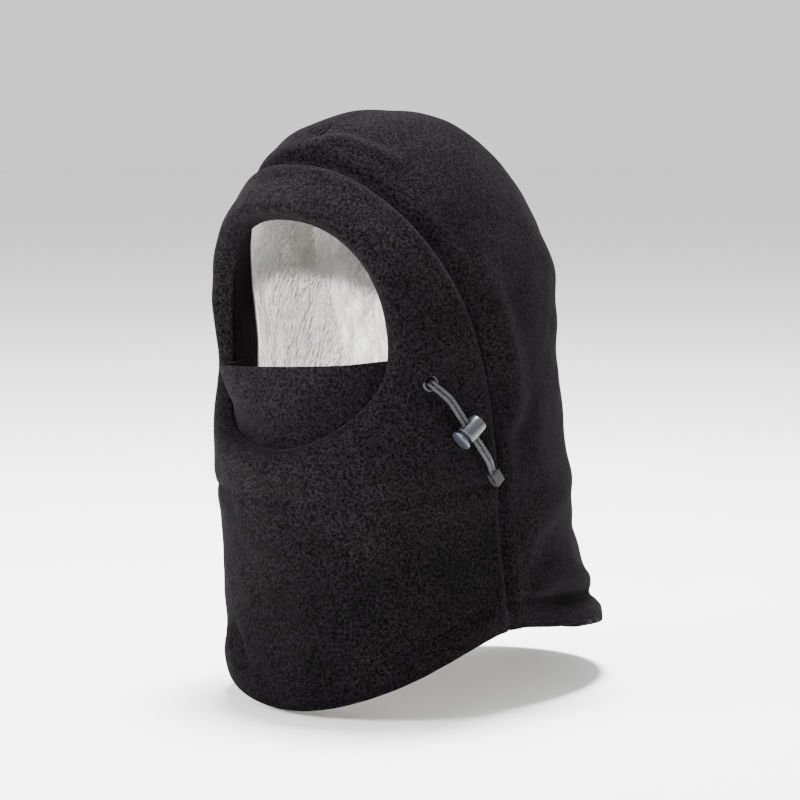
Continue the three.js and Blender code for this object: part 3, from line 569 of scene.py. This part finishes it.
def smoothed(points, count=24):
    """A soft curve through a few (degrees, height in mm) points, laid on the hood."""
    spots = np.array(points, float)
    padded = np.vstack([2 * spots[0] - spots[1], spots, 2 * spots[-1] - spots[-2]])
    curve = []
    for step in np.linspace(0, len(spots) - 1, count):
        i = min(int(step), len(spots) - 2)
        t = step - i
        a, b, c, d = padded[i : i + 4]
        straight = 2 * b + (c - a) * t
        bend = (2 * a - 5 * b + 4 * c - d) * t**2 + (3 * b - a - 3 * c + d) * t**3
        curve.append(0.5 * (straight + bend))
    return [on_hood(skins, degrees, height * mm)[0] for degrees, height in curve]


print("beside the crown seam, mm:", [round(v / mm, 1) for v in on_hood(skins, 19, -8 * mm)[0]])

# %% folds
# Each fold is a line of (degrees round the hood, height in mm), how far it stands
# out in mm, and its half width in mm.
folds = [
    ("beside the crown seam", [(-4, -13), (8, -9), (19, -8), (32, -13), (46, -22)], 2.2, 6),
    ("hollow over the brow", [(-6, -3), (15, -2.5), (29, -6), (44, -13)], -1.3, 7),
    ("down behind the ear", [(75, -74), (85, -114), (92, -149), (96, -173)], 1.6, 9),
    ("hollow of the nape", [(109, -150), (99, -178), (103, -198), (112, -222)], -1.5, 10),
    ("over the nape", [(98, -236), (112, -228), (132, -216), (150, -205)], 2.2, 11),
    ("under the nape", [(104, -250), (124, -247), (146, -244), (165, -240)], -1.5, 9),
    ("above the back hem", [(103, -268), (120, -265), (136, -268), (152, -276)], 3.2, 7),
    ("tucked at the back hem", [(93, -275), (107, -274), (123, -276), (140, -284), (156, -292)], -1.6, 4),
    ("hollow by the eyelet", [(54, -108), (51, -120), (48, -134), (44, -146)], -1.5, 6),
    ("pull to the eyelet", [(70, -121), (62, -122), (55, -128), (50, -142)], 1.7, 6),
    ("below the chin", [(-20, -192), (10, -190), (30, -183), (46, -168)], 1.1, 7),
    ("hollow of the chest", [(-10, -222), (20, -228), (44, -236), (70, -238)], -0.9, 12),
    ("dent by the front hem", [(-23, -286), (-19, -300), (-14, -313)], -1.6, 4),
    ("bulge by the front hem", [(-30, -290), (-27, -303), (-22, -318)], 1.4, 7),
    ("across the back of the head", [(112, -60), (140, -84), (170, -92)], 1.3, 12),
    ("low on the back of the head", [(118, -118), (145, -136), (172, -140)], -1.2, 12),
]
one_sided = 40  # a fold past this many degrees has a softer one on the other side
other_side_drop, other_side_share, other_side_width = 5, 0.8, 1.1
laid_folds = []
for title, spots, out, width in folds:
    laid_folds.append((smoothed(spots), out, width))
    if min(degrees for degrees, _ in spots) > one_sided:
        other = [(-degrees, height - other_side_drop) for degrees, height in spots]
        laid_folds.append((smoothed(other), out * other_side_share, width * other_side_width))
print(len(laid_folds), "folds laid on the panels")

# %% [markdown]
# ## Working the panels
#
# Sewing pulls each cut edge down into a groove, and the thick cloth swells beside
# it. The hem is turned and stitched, so it rolls out below a dip, and the mask is
# sewn through the chest. All of this moves the outer skin in or out along its own
# facing. The inner face stays where it was cut, so nothing reaches the lining.


# %% inside and outside
def outwards(co):
    """The way from the middle of the hood out through each place."""
    axis = np.zeros_like(co)
    axis[:, 2] = np.minimum(co[:, 2], opening_height)
    ray = co - axis
    return ray / np.linalg.norm(ray, axis=1)[:, None]


def outside(co, facing):
    """1 on the outer skin, 0 on the edges and the inner face of a panel."""
    return ease(0.1, 0.55, (outwards(co) * facing).sum(1))


def inside(co, facing):
    """1 on the inner face, 0 on the edges and the outer face."""
    return ease(0.2, 0.65, -(outwards(co) * facing).sum(1))


def lumps(co, size, seed, count=18):
    """Soft unevenness, about -1 to 1, with hills about size apart."""
    dice = np.random.default_rng(seed)
    total = np.zeros(len(co))
    for _ in range(count):
        way = dice.normal(size=3)
        way /= np.linalg.norm(way)
        wave = 2 * math.pi / (size * dice.uniform(0.8, 1.6))
        total += np.sin(co @ way * wave + dice.uniform(0, 2 * math.pi))
    return total / math.sqrt(count / 2) / 1.5


def from_line(co, line):
    """Distance to a line of places, and how far along it, 0 to 1."""
    spots = np.array(line)
    lengths = np.linalg.norm(np.diff(spots, axis=0), axis=1)
    starts = np.concatenate([[0], np.cumsum(lengths)])
    best = np.full(len(co), 9.0)
    along = np.zeros(len(co))
    for i, length in enumerate(lengths):
        way = (spots[i + 1] - spots[i]) / length
        t = np.clip((co - spots[i]) @ way, 0, length)
        apart = np.linalg.norm(co - spots[i] - t[:, None] * way, axis=1)
        nearer = apart < best
        best[nearer] = apart[nearer]
        along[nearer] = (starts[i] + t[nearer]) / starts[-1]
    return best, along


skin_share = outside(front_places, front_facings).mean()
print("outer skin:", round(100 * skin_share), "% of the front panel's vertices")

# %% how each working moves the skin, in metres
ridge_share, hollow_share = 1.95, 1.4
mask_low, mask_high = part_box("face_mask")


def chest_height(degrees):
    """Where the mask is sewn through: it rises a little to the side seams."""
    return mask_low.z - 1.5 * mm + 7 * mm * ease(25, 88, np.abs(degrees))


def soft_folds(co, from_seam, from_hem, from_rim):
    """Unevenness and folds, which die out at the sewing."""
    clear = ease(0, 9 * mm, from_seam) * ease(2 * mm, 22 * mm, from_hem)
    height = mm * (0.55 * lumps(co, 0.055, 3) + 0.22 * lumps(co, 0.021, 4))
    height *= clear * ease(2 * mm, 14 * mm, from_rim)
    for line, out, width in laid_folds:
        apart, along = from_line(co, line)
        taper = np.sqrt(np.clip(np.sin(along * math.pi), 0, 1))
        share = ridge_share if out > 0 else hollow_share
        height += share * out * mm * bump(apart, width * mm) * taper * clear
    return height


def seam_work(panel, co, from_seam, from_hem):
    """The groove of the side and centre seams, and the swelling beside it."""
    shoulder = bump(from_seam - 7.5 * mm, 5.5 * mm) * ease(2 * mm, 20 * mm, from_hem)
    height = (2.2 if panel is front else 1.6) * mm * shoulder
    depth = 0.3 + 1.4 * ease(2 * mm, 26 * mm, from_hem)
    height -= depth * mm * bump(from_seam, 3.2 * mm)
    if panel is not front:
        side = 1 if panel is back_left else -1
        from_centre = distance_to(centre_seam, co * (side, 1, 1))
        height -= 0.7 * mm * bump(from_centre, 2.4 * mm)
    return height


def hem_work(degrees, from_hem):
    """The roll of the turned hem, and the dip of its stitching."""
    rear = ease(95, 150, np.abs(degrees))
    roll = (1.4 + 1.7 * rear) * mm * bump(from_hem - 8 * mm, 6 * mm)
    dip = (1.5 + 0.3 * rear) * mm * bump(from_hem - 16.5 * mm, 2.1 * mm)
    return roll - dip


def chest_work(co, degrees, from_seam, from_hem):
    """The groove where the mask is sewn through the front, and its two swellings."""
    clear = ease(0, 9 * mm, from_seam) * ease(2 * mm, 22 * mm, from_hem)
    above = co[:, 2] - chest_height(degrees)
    sewn = (np.abs(degrees) < 89) & (co[:, 1] < 0.02)
    swelling = bump(above - 8 * mm, 6 * mm) + bump(above + 8 * mm, 6 * mm)
    return (0.8 * mm * swelling * clear - 1.3 * mm * bump(above, 1.7 * mm)) * sewn


def rim_gathers(co, degrees, from_rim):
    """Small gathers over the brow, where the drawcord bunches its tunnel."""
    brow = bump(degrees, 38) * ease(-75 * mm, -50 * mm, co[:, 2]) * bump(from_rim - 7 * mm, 9 * mm)
    wave = np.sin(co[:, 0] / (2.6 * mm) + 1.4 * np.sin(co[:, 0] / (7 * mm)))
    return 0.35 * mm * wave * brow


print("mask sewn at", round(float(chest_height(0)) / mm), "mm in front")


# %% shape the outer panels
def shape_panel(panel):
    co, facing = places(panel.data), facings(panel.data)
    degrees = round_the_hood(co)
    from_seam = distance_to(both_seams, co)
    from_hem = distance_to(hem_line, co)
    from_rim = distance_to(rim_line, co)
    height = soft_folds(co, from_seam, from_hem, from_rim)
    height += seam_work(panel, co, from_seam, from_hem) + hem_work(degrees, from_hem)
    if panel is front:
        height += chest_work(co, degrees, from_seam, from_hem)
        height += rim_gathers(co, degrees, from_rim)
    put_places(panel.data, co + facing * (height * outside(co, facing))[:, None])
    print(panel.name, "moved by up to", round(np.abs(height).max() / mm, 1), "mm")


for panel in outer_panels:
    shape_panel(panel)
    dress(panel, charcoal)
    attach(panel, "hood")
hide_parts("front_panel")
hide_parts("back_panel_left")
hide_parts("back_panel_right")

# %% [markdown]
# ## Inner strips
#
# Two strips of thinner fleece finish the inside: one closes the drawcord tunnel
# round the face, the other backs the hem. They lie flat on the panels, so they
# need no folds of their own, only rounding, and the hem strip the same line as
# the hem.

# %% strips
strip_rounds = 2
opening_strip = cloth_from("opening_facing", "opening_facing_fleece", strip_rounds)
hem_strip = cloth_from("hem_facing", "hem_facing_fleece", strip_rounds)
level_hem(hem_strip, np.nanmean(hem_outline(places(hem_strip.data)) - cut_hem))
for strip, source in ((opening_strip, "opening_facing"), (hem_strip, "hem_facing")):
    dress(strip, inner_dark)
    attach(strip, "hood")
    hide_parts(source)
    print(strip.name, len(strip.data.vertices), "vertices")

# %% [markdown]
# ## Face mask
#
# One layer of fleece across nose and mouth, sewn in along the chest and free at
# its top, where its edge is turned and stitched. Pulled down it slides into the
# hood, and its sewn edge stays.

# %% mask
fold_stitch = mask_high.z - 30 * mm
mask = cloth_from("face_mask", "face_mask_fleece", 3)
co = places(mask.data)
wrinkle = 0.5 * mm * lumps(co, 0.04, 8) + 0.3 * mm * lumps(co * (0.4, 0.4, 1.0), 0.016, 9)
wrinkle *= ease(0, 12 * mm, mask_high.z - co[:, 2]) * ease(0, 14 * mm, co[:, 2] - mask_low.z)
wrinkle -= 0.7 * mm * bump(co[:, 2] - fold_stitch, 1.5 * mm)
wrinkle += 0.9 * mm * bump(co[:, 2] - (mask_high.z - 4 * mm), 4 * mm)
put_places(mask.data, co + np.array((0, -1, 0)) * wrinkle[:, None])
dress(mask, charcoal)
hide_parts("face_mask")
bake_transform(mask)
print("mask", [round(v / mm) for v in mask_high - mask_low], "mm")

# %% [markdown]
# ## Lining
#
# Sherpa plush: a knitted back with a long, pale, curled pile that clumps into
# locks. Hair particles would give every strand, but they can't be exported as a
# plain mesh. So the locks are raised in the surface first, and strands of mesh are
# then laid on it where they show.


# %% lining
def raise_locks(lining):
    """Locks of pile that stand out of the inner face."""
    co, facing = places(lining.data), facings(lining.data)
    locks = lumps(co * (1, 1, 0.3), 0.0095, 21, 40) + 0.6 * lumps(co * (1, 1, 0.35), 0.006, 22, 40)
    put_places(lining.data, co + facing * (inside(co, facing) * 0.45 * mm * locks)[:, None])


linings = []
for side in ("left", "right"):
    lining = cloth_from(f"lining_{side}", f"sherpa_{side}", 3, crease=0.3)
    raise_locks(lining)
    linings.append(lining)
    print(lining.name, len(lining.data.vertices), "vertices")


# %% sherpa
def sherpa(name):
    """Off-white pile that hangs in locks, with painted shade that makes it greyer between them."""
    material, tree, shader = paint(name)
    hair = noise(tree, 420, 4, 0.65, (1.0, 1.0, 0.22)).outputs["Fac"]
    locks = noise(tree, 130, 4, 0.6, (1.0, 1.0, 0.35)).outputs["Fac"]
    shade = noise(tree, 16, 2, 0.5).outputs["Fac"]
    # painted shade: greyer where the lock noise is low, in the hollows between the raised locks
    base = ramp(tree, locks, [(0.3, (0.74, 0.72, 0.69)), (0.55, (0.90, 0.89, 0.87))])
    fine = ramp(tree, hair, [(0.28, (0.80, 0.78, 0.76)), (0.56, (1.0, 1.0, 1.0))])
    broad = ramp(tree, shade, [(0.35, (0.92, 0.90, 0.88)), (0.62, (1.0, 1.0, 1.0))])
    tree.links.new(times(tree, times(tree, base, fine), broad), shader.inputs["Base Color"])
    shader.inputs["Roughness"].default_value = 0.9
    shader.inputs["Sheen Weight"].default_value = 0.5
    shader.inputs["Sheen Roughness"].default_value = 0.5
    relief(tree, shader, [(locks, 0.9, 0.0022), (hair, 0.8, 0.0008)])
    return material


cream = sherpa("sherpa_pile")
for lining, side in zip(linings, ("left", "right")):
    dress(lining, cream)
    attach(lining, "hood")
    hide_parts(f"lining_{side}")
print("pile", cream.name, len(cream.node_tree.nodes), "nodes")

# %% [markdown]
# ## Strands of pile
#
# Each strand is a thin tapering tube with three sides. Thousands of separate
# objects would be slow, so all strands of one side are one mesh, worked out as one
# array. They hang down the lining in locks that lean the same way, and a fringe of
# them spreads over the facing, so that the lining doesn't end in a hard edge.


# %% thin tubes
def tubes(name, lines, radii, sides=3):
    """Many thin tapering tubes in one mesh. lines is count x rings x 3."""
    count, rings, _ = lines.shape
    ahead = np.gradient(lines, axis=1)
    ahead /= np.linalg.norm(ahead, axis=2)[..., None] + 1e-12
    across = np.cross(ahead, (0.31, 0.57, 0.76))
    across /= np.linalg.norm(across, axis=2)[..., None] + 1e-12
    over = np.cross(ahead, across)
    turn = np.arange(sides) * 2 * math.pi / sides
    ring = across[:, :, None] * np.cos(turn)[:, None] + over[:, :, None] * np.sin(turn)[:, None]
    co = lines[:, :, None] + ring * radii[None, :, None, None]
    base = (np.arange(count) * rings * sides)[:, None, None]
    row = (np.arange(rings - 1) * sides)[None, :, None]
    this = np.arange(sides)[None, None, :]
    then = (this + 1) % sides
    corners = [base + row + this, base + row + then, base + row + sides + then, base + row + sides + this]
    faces = [tuple(face) for face in np.stack(corners, axis=-1).reshape(-1, 4)]
    first_ring = base[:, 0, :] + np.arange(sides)[None, :]
    last_ring = first_ring + (rings - 1) * sides
    faces += [tuple(face) for cap in (first_ring[:, ::-1], last_ring) for face in cap]
    mesh = bpy.data.meshes.new(name)
    mesh.from_pydata(co.reshape(-1, 3), [], faces)
    keep_smooth(mesh)
    mesh.update()
    obj = bpy.data.objects.new(name, mesh)
    bpy.context.scene.collection.objects.link(obj)
    return obj


strand_radii = np.array([0.16, 0.2, 0.19, 0.14, 0.04]) * mm
print("a strand is", round(2 * strand_radii.max() / mm, 2), "mm thick")

# %% strands of pile
strand_count, fringe_count = ((12000, 5000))
fringe_from, fringe_to = 34 * mm, 46 * mm
front_clearance, back_clearance = 5.2 * mm, 4 * mm


def clear_of_panels(line):
    """Whether a strand stays away from the outer panels."""
    from_front = min(skins[0].find_nearest(Vector(line[k]))[3] for k in (2, 4))
    from_back = min(tree.find_nearest(Vector(line[4]))[3] for tree in skins[1:])
    return from_front > front_clearance and from_back > back_clearance


def strands_on(lining, name, count, fringe, seed):
    """Strands that lie down the inner face of the lining in locks, and a fringe
    that spreads over the facing at its front edge."""
    dice = np.random.default_rng(seed)
    co, facing = places(lining.data), facings(lining.data)
    face = inside(co, facing)
    rim, rim_gap = nearest(rim_line, co)
    shown = (face > 0.8) & (co[:, 2] > -0.27) & (rim_gap > fringe_from)
    edge = (face > 0.6) & (rim_gap < fringe_to) & (co[:, 2] > -0.16)
    hanging = dice.choice(np.flatnonzero(shown), count)
    fringed = dice.choice(np.flatnonzero(edge), fringe)
    root = np.concatenate([hanging, fringed])
    total = count + fringe
    on_edge = np.arange(total) >= count
    out = np.where(on_edge[:, None], -outwards(co[root]), facing[root])
    start = co[root] + dice.normal(size=(total, 3)) * 0.5 * mm
    start -= out * ((start - co[root]) * out).sum(1)[:, None]
    hang = np.tile(np.array((0, 0, -1.0)), (total, 1))
    to_rim = rim[root] - co[root]
    to_rim /= np.linalg.norm(to_rim, axis=1)[:, None]
    hang = np.where(on_edge[:, None], to_rim * 0.9 + hang * 0.45, hang)
    side = np.cross(out, (0, 0, 1.0))
    lean = 0.55 * lumps(start, 0.02, seed + 1)[:, None] + dice.normal(size=(total, 1)) * 0.22
    way = hang + side * lean * np.where(on_edge, 0.3, 1.0)[:, None]
    way -= out * (way * out).sum(1)[:, None]
    way /= np.linalg.norm(way, axis=1)[:, None] + 1e-9
    length = dice.uniform(6, 11, total)[:, None] * mm
    lift = (dice.uniform(0.4, 1.1, total) + 1.1 * on_edge)[:, None] * mm
    rings = []
    for t in np.linspace(0, 1, len(strand_radii)):
        arch = 0.25 + 0.85 * math.sin(math.pi * min(t * 0.8, 1))
        rings.append(start + way * length * t + out * lift * arch + side * length * 0.1 * math.sin(5 * t))
    lines = np.stack(rings, axis=1)
    kept = [i for i in range(total) if clear_of_panels(lines[i])]
    return tubes(name, lines[kept], strand_radii)


for lining, side, seed in zip(linings, ("left", "right"), (51, 61)):
    pile = strands_on(lining, f"pile_{side}", strand_count, fringe_count, seed)
    pile.data.materials.append(cream)
    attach(pile, "hood")
    print(pile.name, len(pile.data.vertices) // (3 * len(strand_radii)), "strands")

# %% [markdown]
# ## Seam allowances
#
# Under each seam the two cut edges lie folded together inside the hood. They would
# be fiddly to fold in mesh, and only their dark colour is ever seen, down in the
# groove. A soft round ridge of inner fleece stands for them, and keeps the pale
# lining from showing through.


# %% seam allowances
def seam_path(cloud, turns, bins):
    """A cloud of places near a seam as one smooth line, ordered by an angle."""
    groups = np.array_split(cloud[np.argsort(turns)], bins)
    line = np.array([group.mean(0) for group in groups])
    for _ in range(3):
        line[1:-1] = (line[:-2] + 2 * line[1:-1] + line[2:]) / 4
    return line


def seam_ridge(name, line, sunk=2.4 * mm, thick=1.5 * mm):
    """A round ridge under a seam."""
    deep = line - outwards(line) * sunk
    ridge = tubes(name, deep[None], np.full(len(deep), thick), 8)
    ridge.data.materials.append(inner_dark)
    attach(ridge, "hood")
    length = np.linalg.norm(np.diff(line, axis=0), axis=1).sum()
    print(name, round(length / mm), "mm")


skin_places = left_places[outside(left_places, facings(back_left.data)) > 0.4]
side_cloud = near_each_other(skin_places, front_places, 2.2 * mm)
side_turns = np.arctan2(side_cloud[:, 0], side_cloud[:, 2] + 0.2)
side_line = seam_path(side_cloud, side_turns, 90)
centre_cloud = skin_places[skin_places[:, 0] < 1.5 * mm] * (0, 1, 1)
centre_turns = np.arctan2(centre_cloud[:, 1], centre_cloud[:, 2] - opening_height)
centre_line = seam_path(centre_cloud, centre_turns, 110)
seam_ridge("seam_allowance_left", side_line)
seam_ridge("seam_allowance_right", side_line * (-1, 1, 1))
seam_ridge("seam_allowance_centre", centre_line)

# %% [markdown]
# ## Stitching
#
# Rows of thread hold the hem, the mask and the mask's own fold. A dark line drawn
# on the cloth would look flat close up, so each stitch is a short piece of thread
# that dips into the cloth at both ends.


# %% one row of stitches
stitch_sides = 6
stitch_taper = np.array([0.7, 1, 1, 1, 1, 1, 0.7])
stitch_pitch = 3.4 * mm
thread_radius = 0.32 * mm


def stitch_row(name, spots, normals):
    """Stitches along a line of places on the cloth, as one mesh."""
    spots, normals = np.array(spots), np.array(normals)
    lengths = np.linalg.norm(np.diff(spots, axis=0), axis=1)
    run = np.concatenate([[0], np.cumsum(lengths)])
    lines = []
    for i in range(int(run[-1] / stitch_pitch)):
        line = []
        for t in np.linspace(0, 1, len(stitch_taper)):
            at = (i + 0.14 + 0.72 * t) * stitch_pitch
            place = np.array([np.interp(at, run, spots[:, k]) for k in range(3)])
            out = np.array([np.interp(at, run, normals[:, k]) for k in range(3)])
            rise = (0.45 * math.sin(math.pi * t) - 0.25) * mm
            line.append(place + out * rise)
        lines.append(line)
    return tubes(name, np.array(lines), stitch_taper * thread_radius, stitch_sides)


def row_on(trees, from_degrees, to_degrees, height_at, steps):
    """Places and facings round the outside at a height for each angle."""
    angles = np.linspace(from_degrees, to_degrees, steps)
    hits = [on_hood(trees, degrees, height_at(degrees)) for degrees in angles]
    hits = [hit for hit in hits if hit]
    return [hit[0] for hit in hits], [hit[1] for hit in hits]


thread_paint = fleece("thread", (0.0012, 0.001, 0.0012), (0.0062, 0.0052, 0.006))
print("stitches every", stitch_pitch / mm, "mm")

# %% the rows
hem_stitch_rise = 16.6 * mm
smoothing = 25
shaped_skins = [ray_tree(panel) for panel in outer_panels]
hem_order = np.argsort(round_the_hood(hem_line))
hem_turns = round_the_hood(hem_line)[hem_order]
hem_heights = np.pad(hem_line[hem_order][:, 2], smoothing // 2, mode="wrap")
hem_heights = np.convolve(hem_heights, np.ones(smoothing) / smoothing, "valid")


def hem_stitch_height(degrees):
    return float(np.interp(degrees, hem_turns, hem_heights)) + hem_stitch_rise


def fold_stitch_height(degrees):
    return fold_stitch


rows = [
    ("hem_stitches", row_on(shaped_skins, -179, 179, hem_stitch_height, 500), "hood"),
    ("chest_stitches", row_on(shaped_skins[:1], -86, 86, chest_height, 260), "hood"),
    ("mask_stitches", row_on([ray_tree(mask)], -48, 48, fold_stitch_height, 160), "mask"),
]
for name, (spots, normals), body in rows:
    row = stitch_row(name, spots, normals)
    row.data.materials.append(thread_paint)
    if body == "mask":
        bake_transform(row)
    else:
        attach(row, body)
    print(name, len(row.data.vertices) // (stitch_sides * len(stitch_taper)), "stitches")

# %% [markdown]
# ## Drawcord, lock, eyelet and tab
#
# The hardware has true shapes in the frame already, so it is only rounded, with a
# firmer crease that keeps its edges. What makes it read is its finish: a cord with
# a woven cover, moulded plastic with a fine grain, dark plated metal and tape.


# %% finishes
def moulded(name, color, rough, metal=0.0):
    """Plastic, metal or tape with a fine grain."""
    material, tree, shader = paint(name)
    grain = noise(tree, 600, 3, 0.6).outputs["Fac"]
    low, high = tuple(0.75 * c for c in color), tuple(1.2 * c for c in color)
    tree.links.new(ramp(tree, grain, [(0.3, low), (0.7, high)]), shader.inputs["Base Color"])
    shader.inputs["Roughness"].default_value = rough
    shader.inputs["Metallic"].default_value = metal
    relief(tree, shader, [(grain, 0.3, 0.0003)])
    return material


def braid(name):
    """Elastic cord in a woven cover: two sets of strands that cross at a slant."""
    material, tree, shader = paint(name)
    where = node(tree, "ShaderNodeTexCoord")
    woven = node(tree, "ShaderNodeMath", operation="MAXIMUM")
    for i, lean in enumerate((0.9, -0.9)):
        turned = node(tree, "ShaderNodeMapping", Rotation=(0.86 + lean, 0.2, lean))
        bands = node(tree, "ShaderNodeTexWave", Scale=300.0, Distortion=1.2, Detail=1.0)
        tree.links.new(where.outputs["Object"], turned.inputs["Vector"])
        tree.links.new(turned.outputs["Vector"], bands.inputs["Vector"])
        tree.links.new(bands.outputs["Fac"], woven.inputs[i])
    rubbed = noise(tree, 90, 3, 0.5).outputs["Fac"]
    tone = ramp(tree, woven.outputs[0], [(0.4, grey(0.004)), (0.85, (0.026, 0.027, 0.03))])
    wear = ramp(tree, rubbed, [(0.3, grey(0.8)), (0.7, grey(1.5))])
    tree.links.new(times(tree, tone, wear), shader.inputs["Base Color"])
    shader.inputs["Roughness"].default_value = 0.5
    shader.inputs["Specular IOR Level"].default_value = 0.3
    relief(tree, shader, [(woven.outputs[0], 0.8, 0.0005)])
    return material


elastic = braid("elastic_braid")
gunmetal = moulded("gunmetal", (0.035, 0.035, 0.038), 0.35, 0.9)
gunmetal_washer = moulded("gunmetal_washer", (0.035, 0.035, 0.038), 0.4, 0.9)
tape = moulded("tape", (0.008, 0.008, 0.009), 0.85)
lock_black = moulded("lock_black", (0.012, 0.014, 0.018), 0.36)
button_black = moulded("button_black", (0.016, 0.019, 0.025), 0.34)
spring_wire = moulded("spring_wire", (0.55, 0.55, 0.56), 0.3, 1.0)
print("cord cover", elastic.name, len(elastic.node_tree.nodes), "nodes")

# %% hardware
hardware = {
    "drawcord": ("elastic_cord", elastic, "hood", 2),
    "eyelet": ("dark_metal", gunmetal, "hood", 2),
    "eyelet_washer": ("dark_metal", gunmetal_washer, "hood", 2),
    "cord_tab": ("tab_tape", tape, "hood", 2),
    "lock_body": ("lock_plastic", lock_black, "cord_lock", 2),
    "lock_button": ("lock_plastic", button_black, "lock_push_button", 2),
    "lock_spring": ("spring_steel", spring_wire, "cord_lock", 1),
}
shown = {}
for source, (slot, material, body, rounds) in hardware.items():
    piece = cloth_from(source, f"{source}_shown", rounds, crease=0.8, sharp=35)
    dress(piece, material)
    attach(piece, body)
    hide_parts(source)
    shown[source] = piece
    print(piece.name, len(piece.data.vertices), "vertices")

# %% [markdown]
# ## Where the spring gives way
#
# Pressing the button shortens the spring behind it. Here the way of the press is
# read from the lock's joint, the spring's closed end is found along it, and the
# spring gets a mesh of its own.

# %% spring
spring = shown["lock_spring"]
press = next(j for j in frame["record"]["behaviour"]["joints"] if j["name"] == "lock_press")
press_way = np.array(press["axis"])
along_spring = places(spring.data) @ press_way
closed_end = places(spring.data)[along_spring.argmax()]
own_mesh(spring)
